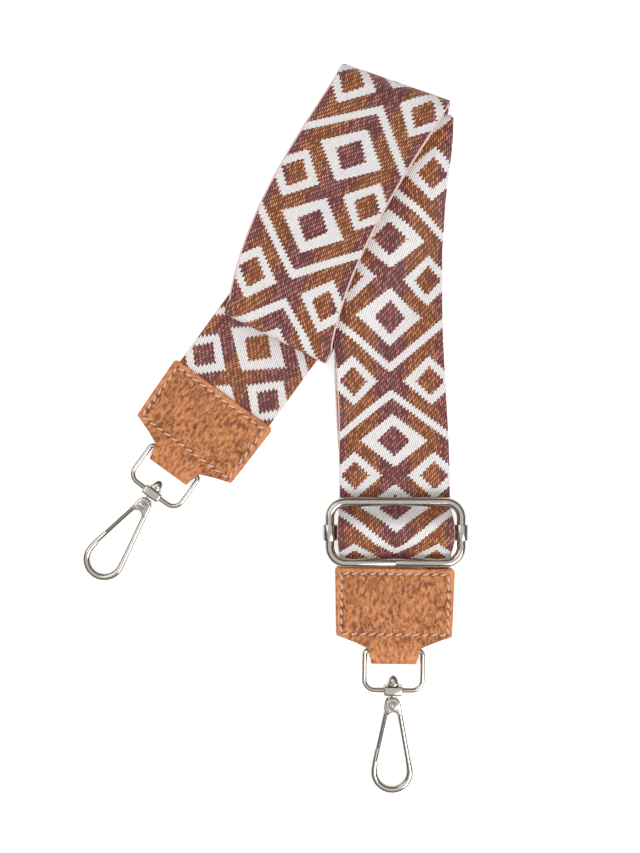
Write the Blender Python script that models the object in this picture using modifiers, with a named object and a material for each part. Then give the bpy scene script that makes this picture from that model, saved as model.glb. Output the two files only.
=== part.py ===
# An adjustable bag strap: folded webbing, a slider, two leather ends and two swivel snap hooks.
# Metres, +Z up. The strap lies folded on a table, with its hooks towards -Y.
import math

import bmesh
import bpy
from mathutils import Matrix, Vector

MM = 0.001
UP = Vector((0, 0, 1))

# Webbing
WEBBING_WIDTH = 50 * MM
WEBBING_THICK = 1.4 * MM
LAYER_GAP = 0.4 * MM
CLEAR = 0.3 * MM
WEBBING_COLUMNS = 6

# Route of the folded strap, from the slider end to the joining ring
STRAP_START = Vector((51.2 * MM, -64 * MM, 0))
RIGHT_HEADING, RIGHT_LENGTH = 90, 203 * MM
HIDDEN_HEADING, HIDDEN_LENGTH = 242.9, 107.1 * MM
LEFT_HEADING, LEFT_LENGTH = 64.6, 109.5 * MM
LOWER_HEADING, LOWER_LENGTH = 257, 29.5 * MM
TAIL_HEADING, TAIL_LENGTH = 234, 109 * MM

# Heights of the middle of each pair of layers
TABLE_LEVEL = 1.7 * MM
HIDDEN_LEVEL = 8.5 * MM
RIGHT_LEVEL = 13.6 * MM
LEFT_LEVEL = 18.4 * MM
DRAPE = 22 * MM
RING_RAMP = 22 * MM
ROW_STEP = 9 * MM
FOLD_ROWS = 8

# Rectangular ring that joins the long and the short webbing
LOOP_WIRE = 2.8 * MM
LOOP_INNER_WIDTH = WEBBING_WIDTH + 2 * MM
LOOP_PITCH = 12 * MM
LOOP_CORNER = 2 * MM
LOOP_LEVEL = 3.3 * MM
TAIL_BACK = 18 * MM

# Leather ends, given from the top edge to the fold round the hook's ring
LEATHER_THICK = 1.6 * MM
TAB_HALF_WIDTH = WEBBING_WIDTH / 2 + 2 * MM
TAB_CORNER = 2 * MM
TAB_LENGTH = 42.8 * MM
TAB_BODY = TAB_LENGTH - 12 * MM
TAB_TAPER = 0.9 * MM
NECK_HALF_WIDTH = 11.7 * MM
NECK_RUN = 5.6 * MM
TONGUE_HALF_WIDTH = 10.3 * MM
WEBBING_IN_TAB = TAB_BODY - 1.8 * MM
POCKET_GAP = 2.9 * MM
BODY_ROWS = (0.35, 0.7)
NECK_ROWS = (0, 0.12, 0.3, 0.5, 0.75, 1)
END_B_TURN = -0.8

# Hook ring
RING_WIRE = 2.3 * MM
RING_OUTER_WIDTH = 28.6 * MM
RING_PITCH = 17.7 * MM
RING_TOP_CORNER = 1.6 * MM
RING_CORNER = 4.8 * MM
RING_BAR_AT = TAB_LENGTH - 5.1 * MM
RING_DROOP = 0.6
RING_RISE = 0.55 * MM
BOSS_WIDTH = 8.8 * MM
BOSS_LENGTH = 4.2 * MM
BOSS_THICK = 5.4 * MM
BOSS_EDGE = 0.8 * MM

# Swivel stem and head
STEM_RADIUS = 1.4 * MM
SWIVEL_CLEAR = 0.1 * MM
HEAD_RADIUS = 2.8 * MM
DOME_RADIUS = 2.35 * MM
HEAD_HEIGHT = 4.4 * MM
COLLAR_HEIGHT = 1 * MM
STEM_FOOT = 2.1 * MM

# Hook body
HOOK_WIRE = 2.9 * MM
HOOK_BEND = 8.1 * MM
HOOK_REACH = 38.4 * MM
RIVET_BELOW_BAR = 6.6 * MM
LIMB_START = Vector((2.75 * MM, -1.5 * MM, 0))
LIMB_THIN, LIMB_THICK = 0.86, 1.14
SWELL_FROM, SWELL_RUN = 20 * MM, 15 * MM
CHEEK_TOP_RADIUS = 3.5 * MM
CHEEK_TOP_RISE = 0.2 * MM
CHEEK_FOOT = ((4.05, -2.6), (4.3, -4.2), (2.4, -4.6), (1.5, -3.3), (0.2, -2.9), (-1.2, -3.3),
              (-2.2, -3.9), (-4.05, -2.7))
CHEEKS_THICK = 4.8 * MM
CHEEK_EDGE = 0.5 * MM
GATE_SLOT = 3 * MM
NOSE_TIP = 20.2 * MM

# Gate, rivet and spring
GATE_WIRE = 2.2 * MM
GATE_ROOT = Vector((-2.95 * MM, -2.8 * MM, 0))
GATE_TIP = Vector((-7.6 * MM, -25.2 * MM, 0))
GATE_EYE_RADIUS = 2.3 * MM
EAR_THICK = 0.7 * MM
EAR_OUTER = 2.7 * MM
RIVET_RADIUS = 0.8 * MM
RIVET_HEAD_RADIUS = 1.9 * MM
RIVET_HEAD_HEIGHT = 0.4 * MM
RIVET_EDGE = 0.15 * MM
SPRING_WIRE = 0.36 * MM
SPRING_RADIUS = 1.25 * MM
SPRING_TURNS = 2
SPRING_PITCH = 0.4 * MM
SPRING_LEG = 2.2 * MM
SPRING_END = 0.6 * MM

# Slider
SLIDER_ABOVE_TAB = 16.3 * MM
SLIDER_WIRE = 3.7 * MM
SLIDER_OUTER_WIDTH = WEBBING_WIDTH + 12.7 * MM
SLIDER_OUTER_LENGTH = 31 * MM
SLIDER_CORNER = 9 * MM
BUTT_GAP = 0.15 * MM
BAR_WIDTH = 6 * MM
BAR_THICK = 2 * MM
BAR_EDGE = 0.5 * MM
CURL_THICK = 1.1 * MM
CURL_LENGTH = 7 * MM
END_TAIL = 3.2 * MM
END_EASE = ((0.3, 0.78), (0.55, 0.15))
BIGHT_FLAT = 3.4 * MM
BIGHT_INSET = 0.2 * MM
BIGHT_TOP = 2.5 * MM

# Places that follow from the sizes
PAIR_OFFSET = (WEBBING_THICK + LAYER_GAP) / 2
TAB_WEBBING_LEVEL = TABLE_LEVEL + PAIR_OFFSET
STRAP_TOP = TAB_WEBBING_LEVEL + WEBBING_THICK / 2
RING_LEVEL = TAB_WEBBING_LEVEL + RING_RISE
SLIDER_LEVEL = STRAP_TOP + 2 * CLEAR + WEBBING_THICK + SLIDER_WIRE / 2


# Materials

def material(name, colour, roughness, metallic=0.0):
    mat = bpy.data.materials.get(name) or bpy.data.materials.new(name)
    mat.use_nodes = True
    shader = mat.node_tree.nodes["Principled BSDF"]
    shader.inputs["Base Color"].default_value = (*colour, 1)
    shader.inputs["Roughness"].default_value = roughness
    shader.inputs["Metallic"].default_value = metallic
    return mat


def finish(obj, mat):
    obj.data.materials.clear()
    obj.data.materials.append(mat)
    obj.data.shade_smooth()
    obj.data.set_sharp_from_angle(angle=math.radians(35))
    return obj


# Shared modelling helpers

def new_object(name, mesh, collection):
    obj = bpy.data.objects.new(name, mesh)
    collection.objects.link(obj)
    return obj


def sheet(name, rows, thickness, mat):
    """An open grid of points, given a thickness on both sides by Solidify."""
    columns = len(rows[0])
    points = [point for row in rows for point in row]
    faces = []
    for r in range(len(rows) - 1):
        for c in range(columns - 1):
            first = r * columns + c
            faces.append((first, first + 1, first + columns + 1, first + columns))
    mesh = bpy.data.meshes.new(name)
    mesh.from_pydata(points, [], faces)
    obj = new_object(name, mesh, PARTS)
    solid = obj.modifiers.new("Thickness", "SOLIDIFY")
    solid.thickness = thickness
    solid.offset = 0
    return finish(obj, mat)


def wire(name, points, radius, mat, cyclic=False, resolution=3, shares=()):
    """A round wire along a list of points, as a closed mesh; shares thin or thicken it at each point."""
    curve = bpy.data.curves.new(name, "CURVE")
    curve.dimensions = "3D"
    curve.bevel_depth = radius
    curve.bevel_resolution = resolution
    curve.use_fill_caps = True
    spline = curve.splines.new("POLY")
    spline.points.add(len(points) - 1)
    for target, point in zip(spline.points, points):
        target.co = (*point, 1)
    for target, share in zip(spline.points, shares):
        target.radius = share
    spline.use_cyclic_u = cyclic
    guide = new_object(name + "_route", curve, PARTS)
    mesh = bpy.data.meshes.new_from_object(guide.evaluated_get(bpy.context.evaluated_depsgraph_get()))
    bpy.data.objects.remove(guide)
    work = bmesh.new()
    work.from_mesh(mesh)
    bmesh.ops.remove_doubles(work, verts=work.verts, dist=1e-6)
    bmesh.ops.recalc_face_normals(work, faces=work.faces)
    work.to_mesh(mesh)
    work.free()
    mesh.name = name
    return finish(new_object(name, mesh, PARTS), mat)


def arc(centre, radius, start, end, steps):
    """Points on an arc in the XY plane, angles in degrees."""
    points = []
    for i in range(steps + 1):
        a = math.radians(start + (end - start) * i / steps)
        points.append(Vector((centre[0] + radius * math.cos(a), centre[1] + radius * math.sin(a), 0)))
    return points


def cylinder(name, radius, length, axis, centre, collection, segments=24):
    """A round bar along an axis, centred on a point."""
    mesh = bpy.data.meshes.new(name)
    work = bmesh.new()
    turn = Vector(axis).to_track_quat("Z", "Y").to_matrix().to_4x4()
    bmesh.ops.create_cone(work, cap_ends=True, segments=segments, radius1=radius, radius2=radius,
                          depth=length, matrix=Matrix.Translation(centre) @ turn)
    work.to_mesh(mesh)
    work.free()
    return new_object(name, mesh, collection)


def block(name, size, centre, collection, bevel=0.0):
    """A box with its edges rounded by a bevel."""
    mesh = bpy.data.meshes.new(name)
    work = bmesh.new()
    scale = Matrix.Diagonal((*size, 1))
    bmesh.ops.create_cube(work, size=1, matrix=Matrix.Translation(centre) @ scale)
    if bevel:
        bmesh.ops.bevel(work, geom=work.edges[:], offset=bevel, segments=2, profile=0.5, affect="EDGES")
    work.to_mesh(mesh)
    work.free()
    return new_object(name, mesh, collection)


def plate(name, outline, thickness, collection):
    """A flat outline in XY, extruded evenly about the plane Z = 0."""
    mesh = bpy.data.meshes.new(name)
    work = bmesh.new()
    verts = [work.verts.new((p[0], p[1], -thickness / 2)) for p in outline]
    face = work.faces.new(verts)
    raised = bmesh.ops.extrude_face_region(work, geom=[face])
    moved = [item for item in raised["geom"] if isinstance(item, bmesh.types.BMVert)]
    bmesh.ops.translate(work, verts=moved, vec=(0, 0, thickness))
    bmesh.ops.recalc_face_normals(work, faces=work.faces)
    work.to_mesh(mesh)
    work.free()
    return new_object(name, mesh, collection)


def turned(name, profile, collection, segments=24):
    """A profile of (radius, height) pairs, top to bottom, turned about the Y axis."""
    mesh = bpy.data.meshes.new(name)
    work = bmesh.new()
    verts = [work.verts.new((radius, height, 0)) for radius, height in profile]
    edges = [work.edges.new(pair) for pair in zip(verts, verts[1:])]
    bmesh.ops.spin(work, geom=verts + edges, cent=(0, 0, 0), axis=(0, 1, 0), dvec=(0, 0, 0),
                   angle=math.tau, steps=segments, use_merge=True)
    bmesh.ops.remove_doubles(work, verts=work.verts, dist=1e-6)
    bmesh.ops.recalc_face_normals(work, faces=work.faces)
    work.to_mesh(mesh)
    work.free()
    return new_object(name, mesh, collection)


def combine(obj, other, operation):
    """Applies a Boolean with another object of the same frame, and keeps the cutter aside."""
    step = obj.modifiers.new(operation.title(), "BOOLEAN")
    step.operation = operation
    step.solver = "EXACT"
    step.object = other
    if other.name in PARTS.objects:
        PARTS.objects.unlink(other)
        CUTTERS.objects.link(other)
    other.hide_render = True
    other.display_type = "WIRE"
    other.parent = obj
    return obj


def rounded_loop(half_width, top, bottom, top_corner, corner, steps=5):
    """The middle line of a rounded rectangular loop, clockwise from the top left."""
    points = arc((half_width - top_corner, top - top_corner), top_corner, 90, 0, steps)
    points += arc((half_width - corner, bottom + corner), corner, 0, -90, steps)
    points += arc((corner - half_width, bottom + corner), corner, -90, -180, steps)
    points += arc((top_corner - half_width, top - top_corner), top_corner, 180, 90, steps)
    return points


def smooth(t):
    t = min(max(t, 0.0), 1.0)
    return t * t * (3 - 2 * t)


# The folded route: each row is a centre, a vector to the strap's own left edge, and the front's normal

def flat_direction(heading):
    return Vector((math.cos(math.radians(heading)), math.sin(math.radians(heading)), 0))


def across(heading, line, face):
    """The vector to the left edge when rows run along a line, such as a fold's."""
    along = flat_direction(heading)
    left = UP.cross(along)
    skew = line.dot(along) / line.dot(left)
    return (left + along * skew) * (WEBBING_WIDTH / 2 * face)


def leg(start, heading, length, face, first_line, last_line, level):
    """Rows of a straight stretch; level gives the height at a point."""
    along = flat_direction(heading)
    count = max(2, round(length / ROW_STEP))
    first, last = across(heading, first_line, face), across(heading, last_line, face)
    rows = []
    for i in range(count + 1):
        part = i / count
        centre = start + along * (length * part)
        rows.append((centre, first.lerp(last, smooth(part)), UP * face, level))
    return rows, start + along * length


def fold(start, heading, next_heading, face, low, high, rises):
    """Rows round a fold, and where the strap leaves it."""
    line = flat_direction((heading + next_heading) / 2)
    along = flat_direction(heading)
    out = UP.cross(line)
    if out.dot(along) < 0:
        out = -out
    radius = (high - low) / 2
    base, turn = (low, 1) if rises else (high, -1)
    side = across(heading, line, face)
    rows = []
    for i in range(1, FOLD_ROWS):
        angle = math.pi * i / FOLD_ROWS
        slide = radius * angle * along.dot(line) / along.dot(out)
        place = start + line * slide + out * (radius * math.sin(angle))
        place.z = base + turn * radius * (1 - math.cos(angle))
        normal = (UP * math.cos(angle) - out * (turn * math.sin(angle))) * face
        rows.append((place, side, normal, None))
    leave = start + line * (radius * math.pi * along.dot(line) / along.dot(out))
    return rows, leave


def fold_line(heading, next_heading):
    return flat_direction((heading + next_heading) / 2)


def strap_route():
    """All rows of the folded pair of layers, and the middle of the joining ring's near bar."""
    square = flat_direction(RIGHT_HEADING + 90)
    lines = [fold_line(RIGHT_HEADING, HIDDEN_HEADING), fold_line(HIDDEN_HEADING, LEFT_HEADING),
             fold_line(LEFT_HEADING, LOWER_HEADING), flat_direction((LOWER_HEADING + TAIL_HEADING) / 2 + 90)]
    rows, at = leg(STRAP_START, RIGHT_HEADING, RIGHT_LENGTH, 1, square, lines[0], right_level)
    turned_rows, at = fold(at, RIGHT_HEADING, HIDDEN_HEADING, 1, HIDDEN_LEVEL, RIGHT_LEVEL, False)
    rows += turned_rows
    more, at = leg(at, HIDDEN_HEADING, HIDDEN_LENGTH, -1, lines[0], lines[1], lambda p, t: HIDDEN_LEVEL)
    rows += more
    turned_rows, at = fold(at, HIDDEN_HEADING, LEFT_HEADING, -1, HIDDEN_LEVEL, LEFT_LEVEL, True)
    rows += turned_rows
    more, at = leg(at, LEFT_HEADING, LEFT_LENGTH, 1, lines[1], lines[2], lambda p, t: LEFT_LEVEL)
    rows += more
    turned_rows, at = fold(at, LEFT_HEADING, LOWER_HEADING, 1, TABLE_LEVEL, LEFT_LEVEL, False)
    rows += turned_rows
    more, at = leg(at, LOWER_HEADING, LOWER_LENGTH, -1, lines[2], lines[3], lower_level)
    return rows + more, at


def hidden_edge():
    """A point on the right edge of the hidden stretch, where the strap on top of it starts to climb."""
    at = STRAP_START + flat_direction(RIGHT_HEADING) * RIGHT_LENGTH
    right = flat_direction(HIDDEN_HEADING).cross(UP)
    return at - right * (WEBBING_WIDTH / 2)


def right_level(point, _part):
    """The strap climbs from the table on to the stack, along the hidden stretch's edge."""
    along = flat_direction(HIDDEN_HEADING)
    inward = along.cross(UP)
    if inward.x > 0:
        inward = -inward
    ahead = (point - hidden_edge()).dot(inward)
    return TABLE_LEVEL + (RIGHT_LEVEL - TABLE_LEVEL) * smooth(1 + ahead / DRAPE)


def lower_level(_point, part):
    """The lowest stretch rises a little to the joining ring."""
    from_ring = (1 - part) * LOWER_LENGTH
    return TABLE_LEVEL + (LOOP_LEVEL - TABLE_LEVEL) * smooth(1 - from_ring / RING_RAMP)


def row_points(centre, side, normal, level, offset, part=0.0):
    """The points of one row, moved off the middle surface by an offset."""
    points = []
    for c in range(WEBBING_COLUMNS + 1):
        point = centre + side * (1 - 2 * c / WEBBING_COLUMNS)
        lean = normal
        if level:
            step = WEBBING_THICK
            here = level(point, part)
            slope_x = (level(point + Vector((step, 0, 0)), part) - here) / step
            slope_y = (level(point + Vector((0, step, 0)), part) - here) / step
            lean = (normal - Vector((slope_x, slope_y, 0)) * normal.z).normalized()
            point = Vector((point.x, point.y, here))
        points.append(point + lean * offset)
    return points


def long_webbing():
    """One long webbing: from the slider end round the joining ring, and back as the under layer."""
    rows, end = strap_route()
    ring_offset = LOOP_WIRE / 2 + CLEAR + WEBBING_THICK / 2
    top, under = [], []
    lower_rows = [i for i, row in enumerate(rows) if row[3] is lower_level]
    for i, (centre, side, normal, level) in enumerate(rows):
        part = 0.0
        if i in lower_rows:
            part = (i - lower_rows[0]) / (len(lower_rows) - 1)
        from_ring = (1 - part) * LOWER_LENGTH if i in lower_rows else LOWER_LENGTH
        offset = PAIR_OFFSET + (ring_offset - PAIR_OFFSET) * smooth(1 - from_ring / RING_RAMP)
        top.append(row_points(centre, side, normal, level, offset, part))
        under.append(row_points(centre, side, normal, level, -offset, part))
    turn = []
    centre, side, normal, _ = rows[-1]
    out = UP.cross(side).normalized()
    if out.dot(flat_direction(LOWER_HEADING)) < 0:
        out = -out
    for i in range(1, FOLD_ROWS):
        angle = math.pi * i / FOLD_ROWS
        shift = normal * (ring_offset * math.cos(angle)) + out * (ring_offset * math.sin(angle))
        middle = Vector((centre.x, centre.y, LOOP_LEVEL)) + shift
        turn.append(row_points(middle, side, normal, None, 0))
    start = tab_rows(rows[0])
    end_of_return = round(SLIDER_ABOVE_TAB / (RIGHT_LENGTH / max(2, round(RIGHT_LENGTH / ROW_STEP))))
    back = list(reversed(under[end_of_return:]))
    sheet("long_webbing", start + top + turn + back, WEBBING_THICK, WEBBING)
    return end


def tab_rows(row):
    """The stretch of webbing that is sewn into the leather end."""
    centre, side, normal, _ = row
    along = flat_direction(RIGHT_HEADING)
    start = centre - along * WEBBING_IN_TAB
    rows = []
    for part in (0, 0.5):
        middle = start.lerp(centre, part)
        rows.append(row_points(Vector((middle.x, middle.y, TABLE_LEVEL)), side, normal, None, PAIR_OFFSET))
    return rows


def short_webbing(near_bar):
    """The short webbing from the joining ring to the second leather end, and that end's place."""
    ring_heading = (LOWER_HEADING + TAIL_HEADING) / 2
    far_bar = near_bar + flat_direction(ring_heading) * LOOP_PITCH
    along = flat_direction(TAIL_HEADING)
    bar_line = flat_direction(ring_heading + 90)
    end_line = flat_direction(TAIL_HEADING + 90)
    turn_radius = LOOP_WIRE / 2 + CLEAR + WEBBING_THICK / 2
    first, last = across(TAIL_HEADING, bar_line, -1), across(TAIL_HEADING, end_line, -1)
    rows = []
    count = max(2, round(TAIL_BACK / ROW_STEP))
    tail_level = WEBBING_THICK / 2 + CLEAR / 3
    for i in range(count + 1):
        part = 1 - i / count
        centre = far_bar + along * (TAIL_BACK * part)
        centre.z = LOOP_LEVEL - turn_radius + (tail_level - LOOP_LEVEL + turn_radius) * smooth(part)
        rows.append(row_points(centre, first, -UP, None, 0))
    out = flat_direction(ring_heading) * -1
    for i in range(1, FOLD_ROWS):
        angle = math.pi * i / FOLD_ROWS
        centre = far_bar + out * (turn_radius * math.sin(angle))
        centre.z = LOOP_LEVEL - turn_radius * math.cos(angle)
        rows.append(row_points(centre, first, -UP, None, 0))
    count = round((TAIL_LENGTH + WEBBING_IN_TAB) / ROW_STEP)
    for i in range(count + 1):
        distance = (TAIL_LENGTH + WEBBING_IN_TAB) * i / count
        centre = far_bar + along * distance
        top = LOOP_LEVEL + turn_radius
        centre.z = top + (TAB_WEBBING_LEVEL - top) * smooth(distance / (RING_RAMP + TAIL_BACK))
        rows.append(row_points(centre, first.lerp(last, smooth(distance / TAIL_LENGTH)), -UP, None, 0))
    sheet("short_webbing", rows, WEBBING_THICK, WEBBING)
    return far_bar + along * TAIL_LENGTH


def joining_ring(near_bar):
    """The rectangular wire ring that both webbings loop round."""
    heading = (LOWER_HEADING + TAIL_HEADING) / 2
    loop = rounded_loop(LOOP_INNER_WIDTH / 2 + LOOP_WIRE / 2, LOOP_PITCH / 2, -LOOP_PITCH / 2,
                        LOOP_CORNER, LOOP_CORNER, 3)
    ring = wire("joining_ring", loop, LOOP_WIRE / 2, NICKEL, cyclic=True, resolution=2)
    middle = near_bar + flat_direction(heading) * (LOOP_PITCH / 2)
    ring.location = (middle.x, middle.y, LOOP_LEVEL)
    ring.rotation_euler.z = math.radians(heading + 90)
    ring.parent = LAYOUT


# Leather ends

def tab_half_width(distance):
    """Half the leather's width at a distance from its top edge."""
    if distance < TAB_CORNER:
        drop = TAB_CORNER - distance
        return TAB_HALF_WIDTH - TAB_CORNER + math.sqrt(max(TAB_CORNER ** 2 - drop ** 2, 0))
    taper = TAB_TAPER * distance / TAB_BODY
    if distance <= TAB_BODY:
        return TAB_HALF_WIDTH - taper
    body_end = TAB_HALF_WIDTH - TAB_TAPER
    neck = min((distance - TAB_BODY) / NECK_RUN, 1)
    if neck < 1:
        return NECK_HALF_WIDTH + (body_end - NECK_HALF_WIDTH) * (1 - neck) ** 1.25
    rest = (distance - TAB_BODY - NECK_RUN) / (TAB_LENGTH - TAB_BODY - NECK_RUN)
    return NECK_HALF_WIDTH + (TONGUE_HALF_WIDTH - NECK_HALF_WIDTH) * min(rest, 1)


def leather_end(name, base):
    """One piece of leather, folded round the hook's ring, with the webbing sewn between its halves."""
    upper = TAB_WEBBING_LEVEL + WEBBING_THICK / 2 + CLEAR + LEATHER_THICK / 2
    pocket = RING_LEVEL + POCKET_GAP / 2 + LEATHER_THICK / 2
    lower = TAB_WEBBING_LEVEL - WEBBING_THICK / 2 - CLEAR - LEATHER_THICK / 2
    fold_radius = (pocket - lower) / 2
    corner_steps = [TAB_CORNER * (1 - math.cos(math.radians(a))) for a in (0, 30, 60, 90)]
    body_steps = [TAB_BODY * part for part in BODY_ROWS]
    neck_steps = [TAB_BODY + NECK_RUN * part for part in NECK_ROWS]
    distances = corner_steps + body_steps + neck_steps + [TAB_LENGTH - fold_radius]
    columns = 8
    rows = []

    def row(distance, height, width_at):
        half = tab_half_width(width_at)
        rows.append([Vector((half * (2 * c / columns - 1), -distance, height)) for c in range(columns + 1)])

    for distance in distances:
        rise = smooth((distance - TAB_BODY) / NECK_RUN)
        row(distance, upper + (pocket - upper) * rise, distance)
    for i in range(1, 6):
        angle = math.pi * i / 6
        row(TAB_LENGTH - fold_radius + fold_radius * math.sin(angle),
            (pocket + lower) / 2 + fold_radius * math.cos(angle), TAB_LENGTH)
    for distance in reversed(distances):
        row(distance, lower, distance)
    tab = sheet(name, rows, LEATHER_THICK, LEATHER)
    tab.parent = base
    return tab


# Swivel snap hooks

def hook_ring(name, base):
    """The wire ring in the leather's fold, with the boss that the swivel turns in."""
    half = RING_OUTER_WIDTH / 2 - RING_WIRE / 2
    loop = rounded_loop(half, 0, -RING_PITCH, RING_TOP_CORNER, RING_CORNER)
    ring = wire(name, loop, RING_WIRE / 2, NICKEL, cyclic=True)
    boss = block(name + "_boss", (BOSS_WIDTH, BOSS_LENGTH, BOSS_THICK), (0, -RING_PITCH, 0), CUTTERS,
                 bevel=BOSS_EDGE)
    bore = cylinder(name + "_bore", STEM_RADIUS + SWIVEL_CLEAR, BOSS_LENGTH * 2, (0, 1, 0),
                    (0, -RING_PITCH, 0), CUTTERS)
    combine(ring, boss, "UNION")
    combine(ring, bore, "DIFFERENCE")
    ring.location = (0, -RING_BAR_AT, RING_LEVEL)
    ring.rotation_euler.x = math.radians(RING_DROOP)
    ring.parent = base
    return ring


def limb_route():
    """The middle line of the hook's limb, from the cheeks round the bend to the nose."""
    centre = Vector((0, HOOK_BEND - HOOK_REACH, 0))
    to = centre - LIMB_START
    turn = math.degrees(math.atan2(to.y, to.x)) + 180
    touch = turn - math.degrees(math.acos(HOOK_BEND / to.length))
    bend = arc(centre, HOOK_BEND, touch, -180, 22)
    run = [LIMB_START.lerp(bend[0], i / 3) for i in range(3)]
    below_lap = GATE_TIP + gate_direction() * CLEAR
    return run + bend + [bend[-1].lerp(below_lap, 0.5), below_lap, nose_tip()]


def limb_shares(points):
    """The limb's thickness at its points: thin beside the gate, and swollen round the bend."""
    return [LIMB_THIN + (LIMB_THICK - LIMB_THIN) * smooth((-point.y - SWELL_FROM) / SWELL_RUN)
            for point in points]


def gate_direction():
    return (GATE_TIP - GATE_ROOT).normalized()


def nose_tip():
    """The end of the nose, on the gate's own line."""
    along = gate_direction()
    return GATE_ROOT + along * ((-NOSE_TIP - GATE_ROOT.y) / along.y)


def hook_body(name, ring):
    """The cast hook: swivel stem and head, two cheeks with the gate's slot between, and the limb."""
    points = limb_route()
    body = wire(name, points, HOOK_WIRE / 2, NICKEL, shares=limb_shares(points))
    outline = arc((0, CHEEK_TOP_RISE), CHEEK_TOP_RADIUS, 170, 10, 10)
    outline += [Vector((x * MM, y * MM, 0)) for x, y in CHEEK_FOOT]
    cheeks = plate(name + "_cheeks", outline, CHEEKS_THICK, CUTTERS)
    rim = cheeks.modifiers.new("Edges", "BEVEL")
    rim.width = CHEEK_EDGE
    rim.segments = 2
    combine(body, cheeks, "UNION")
    combine(body, turned(name + "_stem", stem_profile(), CUTTERS), "UNION")
    combine(body, gate_slot(name + "_slot"), "DIFFERENCE")
    combine(body, lap_cut(name + "_lap", 1), "DIFFERENCE")
    hole = cylinder(name + "_hole", RIVET_RADIUS + SWIVEL_CLEAR, CHEEKS_THICK * 2, (0, 0, 1), (0, 0, 0),
                    CUTTERS)
    combine(body, hole, "DIFFERENCE")
    body.location = (0, -RING_PITCH - RIVET_BELOW_BAR, 0)
    body.parent = ring
    return body


def stem_profile():
    """The swivel's dome, collar and stem, down into the cheeks, as (radius, height) pairs."""
    seat = RIVET_BELOW_BAR + BOSS_LENGTH / 2 + CLEAR
    dome = HEAD_HEIGHT - COLLAR_HEIGHT
    profile = [(0, seat + HEAD_HEIGHT)]
    for angle in (68, 45, 22, 0):
        turn = math.radians(angle)
        profile.append((DOME_RADIUS * math.cos(turn), seat + COLLAR_HEIGHT + dome * math.sin(turn)))
    return profile + [(HEAD_RADIUS, seat + COLLAR_HEIGHT - CLEAR / 3), (HEAD_RADIUS, seat),
                      (STEM_RADIUS, seat), (STEM_RADIUS, STEM_FOOT), (0, STEM_FOOT)]


def gate_slot(name):
    """The slot between the cheeks that the gate's ears turn in, open towards the gate's side."""
    reach = GATE_EYE_RADIUS + 2 * CLEAR
    outline = arc((0, 0), reach, 90, -60, 12)
    low = GATE_TIP.y / 2
    outline += [Vector((outline[-1].x, low, 0)), Vector((low, low, 0)), Vector((low, reach, 0))]
    return plate(name, outline, GATE_SLOT, CUTTERS)


def lap_cut(name, side):
    """Cuts one half of the lap, so that nose and gate lie side by side: 1 for the nose, -1 for the gate."""
    along = gate_direction()
    inward = UP.cross(along)
    start = nose_tip() - along * (HOOK_WIRE if side > 0 else CLEAR)
    end = GATE_TIP + along * (CLEAR if side > 0 else HOOK_WIRE)
    middle = (start + end) / 2 + inward * (side * (HOOK_WIRE - CLEAR) / 2)
    cut = block(name, (HOOK_WIRE, (end - start).length, HOOK_WIRE * 2), (0, 0, 0), CUTTERS)
    cut.location = middle
    cut.rotation_euler.z = math.atan2(along.x, -along.y)
    return cut


def gate(name, body):
    """The gate: two ears on the rivet, a round arm, and an end that laps inside the nose."""
    piece = wire(name, [GATE_ROOT, GATE_TIP], GATE_WIRE / 2, NICKEL)
    for sign in (1, -1):
        ear = ear_plate(f"{name}_ear_{'over' if sign > 0 else 'under'}")
        ear.location.z = sign * (EAR_OUTER - EAR_THICK) / 2
        combine(piece, ear, "UNION")
    combine(piece, lap_cut(name + "_lap", -1), "DIFFERENCE")
    hole = cylinder(name + "_eye", RIVET_RADIUS + SWIVEL_CLEAR, GATE_SLOT * 2, (0, 0, 1), (0, 0, 0), CUTTERS)
    combine(piece, hole, "DIFFERENCE")
    piece.parent = body
    return piece


def ear_plate(name):
    """One ear of the gate, from the round eye to the arm's root."""
    turn = math.degrees(math.atan2(GATE_ROOT.y, GATE_ROOT.x))
    along = gate_direction()
    half = UP.cross(along) * (GATE_WIRE / 2 - CLEAR / 3)
    end = GATE_ROOT + along * EAR_OUTER / 2
    outline = arc((0, 0), GATE_EYE_RADIUS, turn + 60, turn + 300, 14) + [end - half, end + half]
    return plate(name, outline, EAR_THICK, CUTTERS)


def rivet(name, body):
    """The rivet that the gate turns on, with a flat head on each cheek."""
    length = CHEEKS_THICK + 2 * CLEAR / 3
    pin = cylinder(name, RIVET_RADIUS, length, (0, 0, 1), (0, 0, 0), PARTS)
    for sign in (1, -1):
        level = sign * (length + RIVET_HEAD_HEIGHT - CLEAR / 3) / 2
        tag = "over" if sign > 0 else "under"
        head = cylinder(f"{name}_head_{tag}", RIVET_HEAD_RADIUS, RIVET_HEAD_HEIGHT,
                        (0, 0, 1), (0, 0, level), CUTTERS)
        edge = head.modifiers.new("Edges", "BEVEL")
        edge.width = RIVET_EDGE
        edge.segments = 2
        combine(pin, head, "UNION")
    pin.parent = body
    return finish(pin, RIVET_STEEL)


def spring(name, body):
    """The torsion spring round the rivet, between the gate's ears."""
    to_arm = GATE_ROOT.normalized()
    start = math.atan2(to_arm.y, to_arm.x) - math.pi / 2
    steps = SPRING_TURNS * 14
    half = SPRING_TURNS * SPRING_PITCH / 2
    coil = []
    for i in range(steps + 1):
        angle = start + math.tau * SPRING_TURNS * i / steps
        coil.append(Vector((SPRING_RADIUS * math.cos(angle), SPRING_RADIUS * math.sin(angle),
                            half * (2 * i / steps - 1))))
    first_leg = coil[0] + to_arm * SPRING_LEG
    tangent = (coil[-1] - coil[-2]).normalized()
    last_leg = coil[-1] + Vector((tangent.x, tangent.y, 0)) * SPRING_END
    piece = wire(name, [first_leg] + coil + [last_leg], SPRING_WIRE / 2, SPRING_STEEL, resolution=1)
    piece.parent = body
    return piece


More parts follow.
